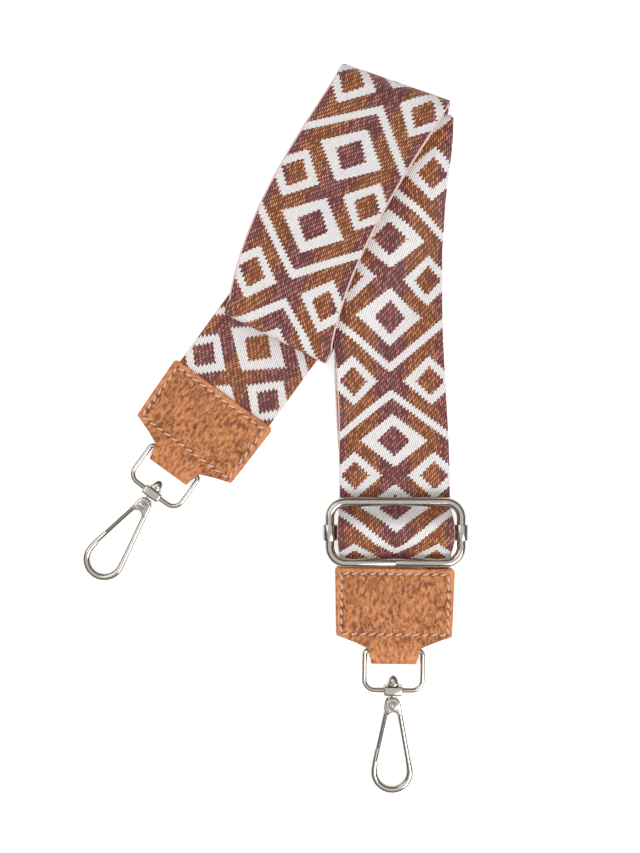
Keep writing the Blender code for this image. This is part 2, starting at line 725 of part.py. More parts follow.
def strap_end(tag, place, turn):
    """A leather end with its ring, hook, gate, rivet and spring."""
    base = bpy.data.objects.new(f"end_{tag}", None)
    PARTS.objects.link(base)
    base.location = place
    base.rotation_euler.z = math.radians(turn)
    base.parent = LAYOUT
    leather_end(f"leather_end_{tag}", base)
    ring = hook_ring(f"hook_ring_{tag}", base)
    body = hook_body(f"hook_body_{tag}", ring)
    gate(f"gate_{tag}", body)
    rivet(f"rivet_{tag}", body)
    spring(f"gate_spring_{tag}", body)


# Slider

def slider():
    """The wire frame, the bar that slides in it, the sewn end on the bar and the webbing over it."""
    centre = STRAP_START + Vector((0, SLIDER_ABOVE_TAB, SLIDER_LEVEL))
    half_x = SLIDER_OUTER_WIDTH / 2 - SLIDER_WIRE / 2
    half_y = SLIDER_OUTER_LENGTH / 2 - SLIDER_WIRE / 2
    corner = SLIDER_CORNER - SLIDER_WIRE / 2
    loop = rounded_loop(half_x, half_y, -half_y, corner, corner, 6)
    seam = len(loop) // 2
    ends = [Vector((-BUTT_GAP / 2, -half_y, 0)), Vector((BUTT_GAP / 2, -half_y, 0))]
    frame = wire("slider_frame", [ends[0]] + loop[seam:] + loop[:seam] + [ends[1]], SLIDER_WIRE / 2, NICKEL)
    frame.location = centre
    bar = block("slider_bar", (2 * half_x, BAR_WIDTH, BAR_THICK), (0, 0, 0), PARTS, bevel=BAR_EDGE)
    for sign in (1, -1):
        tag = "right" if sign > 0 else "left"
        outer = SLIDER_WIRE / 2 + CLEAR + CURL_THICK
        curl = cylinder(f"curl_{tag}", outer, CURL_LENGTH, (0, 1, 0), (sign * half_x, 0, 0), CUTTERS)
        combine(bar, curl, "UNION")
    for sign in (1, -1):
        tag = "right" if sign > 0 else "left"
        eye = cylinder(f"curl_eye_{tag}", SLIDER_WIRE / 2 + CLEAR, CURL_LENGTH * 2, (0, 1, 0),
                       (sign * half_x, 0, 0), CUTTERS)
        combine(bar, eye, "DIFFERENCE")
    bar.location = centre
    for piece in (finish(frame, NICKEL), finish(bar, NICKEL), end_loop(centre), bight(centre)):
        piece.parent = LAYOUT


def loop_section():
    """The middle line of webbing wrapped round the bar, in the YZ plane."""
    radius = BAR_THICK / 2 + CLEAR + WEBBING_THICK / 2
    flat = BAR_WIDTH / 2 - BAR_EDGE
    sewn = WEBBING_THICK + CLEAR - radius
    points = [(flat + END_TAIL, -radius), (flat, -radius), (-flat, -radius)]
    for i in range(1, 8):
        angle = math.radians(270 - 180 * i / 8)
        points.append((-flat + radius * math.cos(angle), radius * math.sin(angle)))
    points += [(-flat, radius), (flat, radius)]
    points += [(flat + END_TAIL * along, radius * up) for along, up in END_EASE]
    return points + [(flat + END_TAIL, sewn)]


def end_loop(centre):
    """The long webbing's end, sewn round the bar."""
    rows = []
    for y, z in loop_section():
        rows.append([Vector((WEBBING_WIDTH * (0.5 - c / 2), y, z)) for c in range(3)])
    piece = sheet("webbing_end_loop", rows, WEBBING_THICK, WEBBING)
    piece.location = centre
    return piece


def bight(centre):
    """The webbing where it passes under the frame's rails and over the bar."""
    reach = SLIDER_OUTER_LENGTH / 2 - BIGHT_INSET
    low = STRAP_TOP + CLEAR + WEBBING_THICK / 2 - SLIDER_LEVEL
    high = BAR_THICK / 2 + 2 * CLEAR + WEBBING_THICK * 1.5
    foot = reach - BIGHT_FLAT
    rows = []
    stations = [-reach] + [-foot + 2 * foot * i / 14 for i in range(15)] + [reach]
    for y in stations:
        rise = smooth((foot - abs(y)) / (foot - BIGHT_TOP))
        z = low + (high - low) * rise
        rows.append([Vector((WEBBING_WIDTH * (0.5 - c / 2), y, z)) for c in range(3)])
    piece = sheet("webbing_bight", rows, WEBBING_THICK, WEBBING)
    piece.location = centre
    return piece


def centre_on_floor():
    """Moves the whole layout so that the middle of its base is the origin."""
    bpy.context.view_layer.update()
    graph = bpy.context.evaluated_depsgraph_get()
    points = []
    for obj in PARTS.objects:
        if obj.type == "MESH":
            shape = obj.evaluated_get(graph)
            points += [shape.matrix_world @ vertex.co for vertex in shape.data.vertices]
    low = Vector([min(p[k] for p in points) for k in range(3)])
    high = Vector([max(p[k] for p in points) for k in range(3)])
    LAYOUT.location -= Vector(((low.x + high.x) / 2, (low.y + high.y) / 2, low.z))


for existing in list(bpy.data.objects):
    bpy.data.objects.remove(existing)
PARTS = bpy.data.collections.new("bag_strap")
CUTTERS = bpy.data.collections.new("cutters")
bpy.context.scene.collection.children.link(PARTS)
bpy.context.scene.collection.children.link(CUTTERS)
LAYOUT = bpy.data.objects.new("layout", None)
PARTS.objects.link(LAYOUT)

WEBBING = material("webbing", (0.45, 0.16, 0.09), 0.85)
LEATHER = material("leather", (0.51, 0.20, 0.07), 0.6)
NICKEL = material("nickel", (0.62, 0.60, 0.56), 0.2, 1.0)
RIVET_STEEL = material("rivet_steel", (0.5, 0.48, 0.45), 0.3, 1.0)
SPRING_STEEL = material("spring_steel", (0.4, 0.4, 0.4), 0.35, 1.0)

near_bar_place = long_webbing()
tail_end = short_webbing(near_bar_place)
for webbing_name in ("long_webbing", "short_webbing"):
    bpy.data.objects[webbing_name].parent = LAYOUT
joining_ring(near_bar_place)
strap_end("b", STRAP_START.copy(), END_B_TURN)
strap_end("a", Vector((tail_end.x, tail_end.y, 0)), TAIL_HEADING - 270)
slider()
centre_on_floor()
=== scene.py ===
# The looks of an adjustable bag strap: jacquard webbing, leather ends, nickel slider and swivel hooks.
# Every piece is in metres, in the frame's own place.
import math

import bmesh
import bpy
from mathutils import Matrix, Vector, noise

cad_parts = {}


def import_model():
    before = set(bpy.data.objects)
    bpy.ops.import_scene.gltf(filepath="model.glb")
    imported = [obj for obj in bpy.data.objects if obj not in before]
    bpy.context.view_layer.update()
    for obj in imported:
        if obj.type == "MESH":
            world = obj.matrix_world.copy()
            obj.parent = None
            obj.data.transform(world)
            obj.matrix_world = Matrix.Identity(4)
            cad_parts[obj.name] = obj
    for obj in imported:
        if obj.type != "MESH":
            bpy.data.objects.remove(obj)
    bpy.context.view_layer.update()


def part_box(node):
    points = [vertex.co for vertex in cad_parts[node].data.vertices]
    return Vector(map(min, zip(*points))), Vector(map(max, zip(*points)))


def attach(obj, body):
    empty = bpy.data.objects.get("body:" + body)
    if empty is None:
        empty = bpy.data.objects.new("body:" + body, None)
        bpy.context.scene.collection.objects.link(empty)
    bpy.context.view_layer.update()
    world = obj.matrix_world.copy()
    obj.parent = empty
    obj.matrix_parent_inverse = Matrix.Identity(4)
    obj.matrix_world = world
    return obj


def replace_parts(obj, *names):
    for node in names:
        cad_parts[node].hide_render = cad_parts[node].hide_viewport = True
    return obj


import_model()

MM = 0.001
UP = Vector((0, 0, 1))

# Webbing
WEBBING_WIDTH = 50 * MM
WEBBING_THICK = 1.4 * MM
LAYER_GAP = 0.4 * MM
CLEAR = 0.3 * MM
WEBBING_COLUMNS = 36
EDGE_ROUND = 0.7 * MM
EDGE_STEPS = 3

# Route of the folded strap, from the slider end to the joining ring
STRAP_START = Vector((51.2 * MM, -64 * MM, 0))
RIGHT_HEADING, RIGHT_LENGTH = 90, 203 * MM
HIDDEN_HEADING, HIDDEN_LENGTH = 242.9, 107.1 * MM
LEFT_HEADING, LEFT_LENGTH = 64.6, 109.5 * MM
LOWER_HEADING, LOWER_LENGTH = 257, 29.5 * MM
TAIL_HEADING, TAIL_LENGTH = 234, 109 * MM

# Heights of the middle of each pair of layers
TABLE_LEVEL = 1.7 * MM
HIDDEN_LEVEL = 8.5 * MM
RIGHT_LEVEL = 13.6 * MM
LEFT_LEVEL = 18.4 * MM
DRAPE = 22 * MM
RING_RAMP = 22 * MM
ROW_STEP = 1.8 * MM
FOLD_ROWS = 26

# Rectangular ring that joins the long and the short webbing
LOOP_WIRE = 2.8 * MM
LOOP_INNER_WIDTH = WEBBING_WIDTH + 2 * MM
LOOP_PITCH = 12 * MM
LOOP_CORNER = 2 * MM
LOOP_LEVEL = 3.3 * MM
TAIL_BACK = 18 * MM

# Leather ends, given from the top edge to the fold round the hook's ring
LEATHER_THICK = 1.6 * MM
TAB_HALF_WIDTH = WEBBING_WIDTH / 2 + 2 * MM
TAB_CORNER = 2 * MM
TAB_LENGTH = 42.8 * MM
TAB_BODY = TAB_LENGTH - 12 * MM
TAB_TAPER = 0.9 * MM
NECK_HALF_WIDTH = 11.7 * MM
NECK_RUN = 5.6 * MM
TONGUE_HALF_WIDTH = 10.3 * MM
WEBBING_IN_TAB = TAB_BODY - 1.8 * MM
POCKET_GAP = 2.9 * MM
END_B_TURN = -0.8
LEATHER_STEP = 0.42 * MM
LEATHER_HALF_COLUMNS = 64
LEATHER_FOLD_ROWS = 18
CUT_ROUND, CUT_THIN = 0.8 * MM, 0.25
CROWN, CROWN_RUN = 0.16 * MM, 3 * MM

# Raised grain of the leather: cells in a metre across and along, and their heights
CELLS_ACROSS, CELLS_ALONG = 650, 360
CELL_RISE, BROAD_RISE = 0.07 * MM, 0.06 * MM
FAINT_GRAIN = 0.3
GRAIN_SEED = 7

# Seam of each leather end: a rectangle of stitches, pressed into the leather
SEAM_TOP = 2.6 * MM
SEAM_SIDE = 24 * MM
SEAM_BOTTOM = 29.8 * MM
SEAM_DEPTH, SEAM_SPREAD = 0.22 * MM, 0.9 * MM
STITCH_PITCH = 3.9 * MM
STITCH_RADIUS = 0.44 * MM
STITCH_SHARE = 0.4
STITCH_SLANT = 0.4 * MM
STITCH_BEDDED = 0.12 * MM
STITCH_SINK = 0.55 * MM
STITCH_STEPS = 8

# Hook ring
RING_WIRE = 2.3 * MM
RING_OUTER_WIDTH = 28.6 * MM
RING_PITCH = 17.7 * MM
RING_TOP_CORNER = 1.6 * MM
RING_CORNER = 4.8 * MM
RING_BAR_AT = TAB_LENGTH - 5.1 * MM
RING_DROOP = 0.6
RING_RISE = 0.55 * MM
BOSS_WIDTH = 8.8 * MM
BOSS_LENGTH = 4.2 * MM
BOSS_THICK = 5.4 * MM
BOSS_EDGE = 0.9 * MM

# Swivel stem and head
STEM_RADIUS = 1.4 * MM
SWIVEL_CLEAR = 0.1 * MM
HEAD_RADIUS = 2.8 * MM
DOME_RADIUS = 2.35 * MM
HEAD_HEIGHT = 4.4 * MM
COLLAR_HEIGHT = 1 * MM
STEM_FOOT = 2.1 * MM

# Hook body
HOOK_WIRE = 2.9 * MM
HOOK_BEND = 8.1 * MM
HOOK_REACH = 38.4 * MM
RIVET_BELOW_BAR = 6.6 * MM
LIMB_START = Vector((2.75 * MM, -1.5 * MM, 0))
LIMB_THIN, LIMB_THICK = 0.86, 1.14
SWELL_FROM, SWELL_RUN = 20 * MM, 15 * MM
CHEEK_TOP_RADIUS = 3.5 * MM
CHEEK_TOP_RISE = 0.2 * MM
CHEEK_FOOT = ((4.05, -2.6), (4.3, -4.2), (2.4, -4.6), (1.5, -3.3), (0.2, -2.9), (-1.2, -3.3),
              (-2.2, -3.9), (-4.05, -2.7))
CHEEKS_THICK = 4.8 * MM
CHEEK_EDGE = 0.7 * MM
GATE_SLOT = 3 * MM
NOSE_TIP = 20.2 * MM

# Gate, rivet and spring
GATE_WIRE = 2.2 * MM
GATE_ROOT = Vector((-2.95 * MM, -2.8 * MM, 0))
GATE_TIP = Vector((-7.6 * MM, -25.2 * MM, 0))
GATE_EYE_RADIUS = 2.3 * MM
EAR_THICK = 0.7 * MM
EAR_OUTER = 2.7 * MM
RIVET_RADIUS = 0.8 * MM
RIVET_HEAD_RADIUS = 1.9 * MM
RIVET_HEAD_HEIGHT = 0.4 * MM
SPRING_WIRE = 0.36 * MM
SPRING_RADIUS = 1.25 * MM
SPRING_TURNS = 2
SPRING_PITCH = 0.4 * MM
SPRING_LEG = 2.2 * MM
SPRING_END = 0.6 * MM

# Slider
SLIDER_ABOVE_TAB = 16.3 * MM
SLIDER_WIRE = 3.7 * MM
SLIDER_OUTER_WIDTH = WEBBING_WIDTH + 12.7 * MM
SLIDER_OUTER_LENGTH = 31 * MM
SLIDER_CORNER = 9 * MM
BUTT_GAP = 0.15 * MM
BAR_WIDTH = 6 * MM
BAR_THICK = 2 * MM
BAR_EDGE = 0.5 * MM
CURL_THICK = 1.1 * MM
CURL_LENGTH = 7 * MM
END_TAIL = 3.2 * MM
END_EASE = ((0.3, 0.78), (0.55, 0.15))
BIGHT_FLAT = 3.4 * MM
BIGHT_INSET = 0.2 * MM
BIGHT_FOOT_INSET = 0.6 * MM
BIGHT_STEPS = 40

# Places that follow from the sizes
PAIR_OFFSET = (WEBBING_THICK + LAYER_GAP) / 2
TAB_WEBBING_LEVEL = TABLE_LEVEL + PAIR_OFFSET
STRAP_TOP = TAB_WEBBING_LEVEL + WEBBING_THICK / 2
RING_LEVEL = TAB_WEBBING_LEVEL + RING_RISE
SLIDER_LEVEL = STRAP_TOP + 2 * CLEAR + WEBBING_THICK + SLIDER_WIRE / 2

# The layout's shift from its own route to the frame's origin, read from the slider's place
SLIDER_LOW, SLIDER_HIGH = (Vector(corner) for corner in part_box("slider_frame"))
SLIDER_PLACE = (SLIDER_LOW + SLIDER_HIGH) / 2
SHIFT = Vector((SLIDER_PLACE.x, SLIDER_PLACE.y, 0)) - STRAP_START - Vector((0, SLIDER_ABOVE_TAB, 0))

# The woven pattern, in millimetres of webbing
PATTERN_PERIOD = 91.0
FIGURE_HALF = 47.0
# Diamonds with a hole: place across and along, then half width and half length outside and of the hole
DIAMONDS = ((0.0, 29.6, (15.3, 13.2), (7.4, 7.8)),
            (17.9, 0.0, (12.1, 11.8), (6.4, 7.1)),
            (17.9, 47.0, (12.1, 11.8), (6.4, 7.1)))
CHEVRON_SLOPE = 0.84
CHEVRON_FROM, CHEVRON_TO = 4.1, 8.5
# Distances from the middle between which purple turns to orange, and orange back to purple
TO_ORANGE, TO_PURPLE = (3.5, 11.0), (18.5, 24.0)
# The back's woven coordinate across is moved aside by this much
BACK_SHIFT = 100.0

# Where the stretches of the strap lie in the pattern, and how far they are drawn out
CROSS_FROM_START = 84.1
TAIL_CROSS = 9.0
LOW_STRETCH = 1.07
HIDDEN_SKIP = 9.0
LEFT_STRETCH = 0.972
BIGHT_START = -2.1
LEFT_EDGE_SHARE = 1.022

# How far the soft straps bow aside between their folds
RIGHT_SWAY = 3.4 * MM
SWAY_SPOTS = (-29 * MM, 62 * MM, 100 * MM, 144 * MM)
LEFT_SWAY = 5.8 * MM
LEFT_SWAY_EARLY = 0.8
BIGHT_HALF_WIDTH = 26.2 * MM

# The slider's wire is a little fuller than the solid, and metal edges are softened
WIRE_FULLER = 0.25 * MM
FRAME_SOFT, BAR_SOFT, HOOK_SOFT = 0.12 * MM, 0.18 * MM, 0.1 * MM
TURN_SEGMENTS = 48

# Yarns, in millimetres: width and length of a float, and how far a yarn leans for each millimetre along
STEP_PITCH = 1.4
STEP_LEAN = 0.06
TOOTH_SLANT = 0.5
YARN_PITCH = 0.9
WHITE_LEAN = 0.36
WARP_PITCH = 0.86
PICK_PITCH = 2.2
PICK_SHIFT = 0.38
GROUND_LEAN = -0.1
# darkest painted shade, at the ends of the floats and in the grooves between them
PAINTED_GROOVE_SHADE = 0.26
SELVAGE_FROM = 24.75
WEAVE_RELIEF = 0.28 * MM

# Leather pebbles in a millimetre, across and along the strap, and how far they wander in millimetres
PEBBLES_ACROSS = 0.6
PEBBLES_ALONG = 0.32
PEBBLE_WANDER = 3.2
GRAIN_RELIEF = 0.42 * MM

# Colours, as they are seen
WHITE_YARN = (253, 249, 247)
# painted shade in the grooves between the white yarns, also used for random greyish wisps
WHITE_GROOVE_PAINTED_SHADE = (176, 166, 170)
# painted highlight along the rounded edges of the webbing, on both edges and both faces
PAINTED_EDGE_HIGHLIGHT = (244, 212, 200)
PURPLE_YARN = (136, 70, 70)
# painted highlight on the middle of the purple floats
PURPLE_PAINTED_HIGHLIGHT = (208, 140, 138)
ORANGE_YARN = (166, 90, 48)
# painted highlight on the middle of the orange floats
ORANGE_PAINTED_HIGHLIGHT = (232, 164, 118)
LEATHER_TAN = (224, 145, 88)
# dark end of the leather's colour, for its random blotches and for painted shade in creases, hollows and the
# seam's groove
LEATHER_DARK = (128, 68, 32)
# painted shade in the grooves of the thread's twist
THREAD_PAINTED_SHADE = (230, 172, 142)
THREAD_TAN = (255, 230, 208)
NICKEL_TONE = (192, 186, 178)
RIVET_TONE = (188, 184, 180)
SPRING_TONE = (160, 160, 160)
FLOOR_TONE = (245, 245, 245)

# Stage: square lights as (name, place, target, size, power), the room, and the camera
LIGHTS = (("key", (0.45, -0.5, 0.7), (0.02, 0, 0), 0.45, 4.7),
          ("fill", (-0.4, 0.2, 0.5), (-0.05, 0, 0), 0.5, 1.1))
FLOOR_BELOW = 0.05 * MM
FLOOR_GLOW = 0.6
ROOM_LIGHT = 0.5
# What metal sees of the room, as (height of the direction, level)
ROOM_LEVELS = ((0.0, 0.7), (0.05, 0.2), (0.16, 0.02), (0.38, 0.02), (0.48, 0.5), (0.58, 0.2), (0.68, 0.02),
               (0.8, 0.75), (0.9, 1.0), (1.0, 0.95))
CAMERA_FROM_SLIDER = Vector((-33.785 * MM, 47.339 * MM, 0))
CAMERA_HEIGHT = 450 * MM
VIEW_HEIGHT = 387.7 * MM
SENSOR = 36.0


def linear(colour):
    """An 8-bit display colour as the linear colour that the shaders take."""
    values = []
    for value in colour:
        c = value / 255
        values.append(c / 12.92 if c <= 0.04045 else ((c + 0.055) / 1.055) ** 2.4)
    return (*values, 1)


# Node helpers

class Signal:
    """A value in a node tree that plain arithmetic works on."""

    def __init__(self, tree, socket):
        self.tree = tree
        self.socket = socket

    def __add__(self, other):
        return self.tree.math("ADD", self, other)

    def __sub__(self, other):
        return self.tree.math("SUBTRACT", self, other)

    def __rsub__(self, other):
        return self.tree.math("SUBTRACT", other, self)

    def __mul__(self, other):
        return self.tree.math("MULTIPLY", self, other)

    def __truediv__(self, other):
        return self.tree.math("DIVIDE", self, other)

    def __abs__(self):
        return self.tree.math("ABSOLUTE", self)


class Tree:
    """A node tree under construction, with short calls for its nodes."""

    def __init__(self, owner):
        owner.use_nodes = True
        self.nodes = owner.node_tree.nodes
        self.links = owner.node_tree.links

    def put(self, node, socket, value):
        if isinstance(value, Signal):
            self.links.new(value.socket, node.inputs[socket])
        else:
            node.inputs[socket].default_value = value

    def node(self, kind, output=0, inputs=(), **settings):
        """One output of a new node."""
        node = self.nodes.new("ShaderNode" + kind)
        for name, value in settings.items():
            setattr(node, name, value)
        for socket, value in dict(inputs).items():
            self.put(node, socket, value)
        return Signal(self, node.outputs[output])

    def math(self, operation, *values):
        return self.node("Math", 0, enumerate(values), operation=operation)

    def blend(self, factor, first, second):
        return self.node("Mix", 2, {"Factor": factor, 6: first, 7: second}, data_type="RGBA")

    def mix(self, factor, *colours):
        """A blend of two colours, each a signal or an 8-bit display colour."""
        return self.blend(factor, *(c if isinstance(c, Signal) else linear(c) for c in colours))

    def step(self, value, low, high):
        """0 below low, 1 above high, smooth between."""
        return self.node("MapRange", 0, {"Value": value, "From Min": low, "From Max": high},
                         interpolation_type="SMOOTHSTEP")

    def ribs(self, value, power):
        """A row of rounded ribs, one for each whole number."""
        return self.math("POWER", abs(self.math("SINE", value * math.pi)), power)

    def noise(self, vector, scale, detail=2.0, roughness=0.5):
        return self.node("TexNoise", "Fac", {"Vector": vector, "Scale": scale, "Detail": detail,
                                             "Roughness": roughness})

    def combine(self, *values):
        return self.node("CombineXYZ", 0, enumerate(values))

    def split(self, vector):
        part = self.node("SeparateXYZ", 0, {0: vector})
        return [Signal(self, output) for output in part.socket.node.outputs]

    def ray(self, kind):
        return self.node("LightPath", f"Is {kind} Ray")


class Shader(Tree):
    """A surface material under construction."""

    def __init__(self, name):
        self.material = bpy.data.materials.new(name)
        super().__init__(self.material)

    def place(self):
        return self.node("TexCoord", "Object")

    def bump(self, height, distance, strength=1.0):
        return self.node("Bump", 0, {"Height": height, "Distance": distance, "Strength": strength})

    def set(self, **values):
        for name, value in values.items():
            self.put(self.nodes["Principled BSDF"], name.replace("_", " "), value)
        return self.material


# Materials

def jacquard():
    """Woven webbing: white diamonds and chevrons on a purple and orange ground."""
    s = Shader("jacquard_webbing")
    along, raw_across, _ = s.split(s.node("UVMap", uv_map="weave"))
    back = s.math("GREATER_THAN", raw_across, BACK_SHIFT / 2)
    signed = raw_across - back * BACK_SHIFT

    # the figure's edges step from one column of slanted yarns to the next
    slanted = signed + along * WHITE_LEAN
    in_column = s.math("FRACT", (signed + along * STEP_LEAN) / STEP_PITCH) - 0.5
    v = abs(signed - in_column * STEP_PITCH)
    half = PATTERN_PERIOD / 2
    a = s.math("PINGPONG", along + in_column * TOOTH_SLANT, half) * (FIGURE_HALF / half)

    def diamond(across_at, along_at, size):
        return s.math("LESS_THAN", abs(v - across_at) / size[0] + abs(a - along_at) / size[1], 1.0)

    arm = a - v * CHEVRON_SLOPE
    white = s.math("GREATER_THAN", arm, CHEVRON_FROM) * s.math("LESS_THAN", arm, CHEVRON_TO)
    for across_at, along_at, outer, hole in DIAMONDS:
        rim = diamond(across_at, along_at, outer) * (1.0 - diamond(across_at, along_at, hole))
        white = s.math("MAXIMUM", white, rim)

    # white yarns lie side by side, with painted shade in the grooves between them and random greyish wisps
    white_rib = s.ribs(slanted / YARN_PITCH, 0.7)
    wisp = s.noise(s.combine(slanted * 1.1, along * 0.28, 0.0), 1.0, 3.0)
    pale = s.mix(s.step(white_rib * 0.3 + wisp * 0.3, 0.12, 0.4), WHITE_GROOVE_PAINTED_SHADE, WHITE_YARN)

    # the ground: short floats, each with its own tone, a painted highlight along its middle and painted shade
    # at its ends and sides
    warp_at = (signed + along * GROUND_LEAN) / WARP_PITCH
    warp = s.math("FLOOR", warp_at)
    pick_at = along / PICK_PITCH + warp * PICK_SHIFT
    chance = s.node("TexWhiteNoise", "Value", {"Vector": s.combine(warp, s.math("FLOOR", pick_at), 0.0)},
                    noise_dimensions="2D")
    height = s.ribs(warp_at, 0.7) * s.ribs(pick_at, 0.5)

    # orange between purple bands, the other way round on the back
    from_middle = abs(signed)
    band = s.step(from_middle, *TO_ORANGE) * (1.0 - s.step(from_middle, *TO_PURPLE))
    band = band * (1.0 - back) + (1.0 - band) * back
    turned = s.step((chance - 0.5) * 0.7 + band, 0.1, 0.9)
    # painted highlight: a lighter yarn colour on the raised middle of most floats
    lit = s.step(height * (chance * 0.7 + 0.45), 0.3, 1.1) * 0.9
    ground = s.mix(lit, s.mix(turned, PURPLE_YARN, ORANGE_YARN), s.mix(turned, PURPLE_PAINTED_HIGHLIGHT, ORANGE_PAINTED_HIGHLIGHT))
    # painted shade: each float darkens towards its ends and sides down to the groove level, with a random
    # tone of its own on top
    shade = height * (1.05 - PAINTED_GROOVE_SHADE) * (chance * 0.4 + 0.8) + PAINTED_GROOVE_SHADE
    ground = s.node("VectorMath", 0, {0: ground, "Scale": shade}, operation="SCALE")
    colour = s.mix(white, ground, pale)
    # painted highlight: a pale band over the outermost rounded edge of the webbing
    colour = s.mix(s.math("GREATER_THAN", from_middle, SELVAGE_FROM), colour, PAINTED_EDGE_HIGHLIGHT)
    relief = white * (white_rib * 0.7 + 0.5) + height * (1.0 - white)
    return s.set(Base_Color=colour, Roughness=0.58, Normal=s.bump(relief, WEAVE_RELIEF),
                 Sheen_Weight=0.1, Sheen_Roughness=0.4)


def pebbled_leather():
    """Tan full-grain leather: long soft pebbles inside the seam, and a smoother border and tongue."""
    s = Shader("pebbled_leather")
    spot = s.node("UVMap", uv_map="grain")
    x, down, _ = s.split(spot)
    bend = (s.noise(spot, 0.28) - 0.5) * PEBBLE_WANDER
    sway = (s.noise(s.combine(down, x, 7.0), 0.25) - 0.5) * PEBBLE_WANDER
    grain = s.combine((x + bend) * PEBBLES_ACROSS, (down + sway) * PEBBLES_ALONG, 0.0)
    crease = s.node("TexVoronoi", "Distance", {"Vector": grain, "Scale": 1.0}, feature="DISTANCE_TO_EDGE")
    wide = s.noise(grain, 1.15, 1.6, 0.45)
    fine = s.noise(spot, 3.2, 3.0, 0.65)
    blotch = s.noise(spot, 0.09, 3.0)

    # the seam's groove is painted darker as shade, and pebbles are full inside it and faint on the border and
    # the tongue
    side, upper, lower = SEAM_SIDE / MM, SEAM_TOP / MM, SEAM_BOTTOM / MM
    beyond = abs(down - (upper + lower) / 2) - (lower - upper) / 2
    groove = s.step(abs(s.math("MAXIMUM", abs(x) - side, beyond)), 0.8, 0.1)
    inside = s.step(abs(x), side + 0.8, side - 1.2) * s.step(down, upper - 0.8, upper + 1.2)
    tongue = 1.0 - s.step(down, lower + 2.0, TAB_LENGTH / MM) * 0.75
    full = (inside * 0.75 + 0.25) * tongue
    top = s.step(crease, 0.0, 0.4)
    low = (1.0 - top) * full
    # random blotches are the leather's own tone; painted shade darkens the creases, the hollows of the broad
    # relief and the seam's groove
    tone = blotch * 0.4 + low * 0.12 + (1.0 - wide) * 0.8 + groove * 0.16
    height = (top * 0.35 + wide * 3.0) * full + fine * 0.08
    return s.set(Base_Color=s.mix(s.step(tone, 0.48, 0.92), LEATHER_TAN, LEATHER_DARK),
                 Roughness=low * 0.2 + 0.4, Specular_IOR_Level=0.5, Normal=s.bump(height, GRAIN_RELIEF))


def waxed_thread():
    """Twisted sewing thread, with painted shade in the grooves of its twist."""
    s = Shader("waxed_thread")
    wave = s.node("TexWave", "Fac", {"Vector": s.place(), "Scale": 900.0}, bands_direction="DIAGONAL")
    return s.set(Base_Color=s.mix(wave, THREAD_PAINTED_SHADE, THREAD_TAN), Roughness=0.6,
                 Normal=s.bump(wave, 0.1 * MM))


def nickel(name, tone, roughness):
    """Polished plate with faint scuffs."""
    s = Shader(name)
    cloud = s.noise(s.place(), 160.0, 3.0)
    scuff = s.noise(s.place(), 1400.0, 4.0, 0.7)
    colour = s.mix(s.step(scuff, 0.3, 0.8), tone, [value * 0.9 for value in tone])
    return s.set(Base_Color=colour, Metallic=1.0, Roughness=cloud * 0.08 + roughness,
                 Normal=s.bump(scuff, 0.01 * MM, 0.5))


# Objects and meshes

def placed(name, data):
    """A new object in the scene."""
    item = bpy.data.objects.new(name, data)
    bpy.context.scene.collection.objects.link(item)
    return item


def mesh_of(work, name):
    """A mesh from a work mesh, which is freed."""
    mesh = bpy.data.meshes.new(name)
    work.to_mesh(mesh)
    work.free()
    return mesh


def evaluated(item):
    """The mesh of an object with its modifiers; the object is removed."""
    mesh = bpy.data.meshes.new_from_object(item.evaluated_get(bpy.context.evaluated_depsgraph_get()))
    bpy.data.objects.remove(item)
    return mesh


def add_piece(name, mesh, material, body):
    """A mesh as a piece that rides on a body."""
    piece = placed(name, mesh)
    mesh.materials.clear()
    mesh.materials.append(material)
    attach(piece, body)
    return piece


# Routes and outlines, as the solids have them

def arc(centre, radius, start, end, steps):
    """Points on an arc in the XY plane, angles in degrees."""
    points = []
    for i in range(steps + 1):
        a = math.radians(start + (end - start) * i / steps)
        points.append(Vector((centre[0] + radius * math.cos(a), centre[1] + radius * math.sin(a), 0)))
    return points


def rounded_loop(half_width, top, bottom, top_corner, corner, steps):
    """The middle line of a rounded rectangular loop, clockwise from the top left."""
    points = arc((half_width - top_corner, top - top_corner), top_corner, 90, 0, steps)
    points += arc((half_width - corner, bottom + corner), corner, 0, -90, steps)
    points += arc((corner - half_width, bottom + corner), corner, -90, -180, steps)
    points += arc((top_corner - half_width, top - top_corner), top_corner, 180, 90, steps)
    return points


def smooth(t):
    t = min(max(t, 0.0), 1.0)
    return t * t * (3 - 2 * t)


def flat_direction(heading):
    return Vector((math.cos(math.radians(heading)), math.sin(math.radians(heading)), 0))


def across(heading, line, face):
    """The vector to the left edge when rows run along a line, such as a fold's."""
    along = flat_direction(heading)
    left = UP.cross(along)
    skew = line.dot(along) / line.dot(left)
    return (left + along * skew) * (WEBBING_WIDTH / 2 * face)


def leg(start, heading, length, face, first_line, last_line, level):
    """Rows of a straight stretch; level gives the height at a point."""
    along = flat_direction(heading)
    count = max(2, round(length / ROW_STEP))
    first, last = across(heading, first_line, face), across(heading, last_line, face)
    rows = []
    for i in range(count + 1):
        part = i / count
        centre = start + along * (length * part)
        rows.append((centre, first.lerp(last, smooth(part)), UP * face, level))
    return rows, start + along * length


def fold(start, heading, next_heading, face, low, high, rises):
    """Rows round a fold, and where the strap leaves it."""
    line = flat_direction((heading + next_heading) / 2)
    along = flat_direction(heading)
    out = UP.cross(line)
    if out.dot(along) < 0:
        out = -out
    radius = (high - low) / 2
    base, turn = (low, 1) if rises else (high, -1)
    side = across(heading, line, face)
    rows = []
    for i in range(1, FOLD_ROWS):
        angle = math.pi * i / FOLD_ROWS
        slide = radius * angle * along.dot(line) / along.dot(out)
        place = start + line * slide + out * (radius * math.sin(angle))
        place.z = base + turn * radius * (1 - math.cos(angle))
        normal = (UP * math.cos(angle) - out * (turn * math.sin(angle))) * face
        rows.append((place, side, normal, None))
    leave = start + line * (radius * math.pi * along.dot(line) / along.dot(out))
    return rows, leave


def hidden_level(_point, _part):
    return HIDDEN_LEVEL


def left_level(_point, _part):
    return LEFT_LEVEL


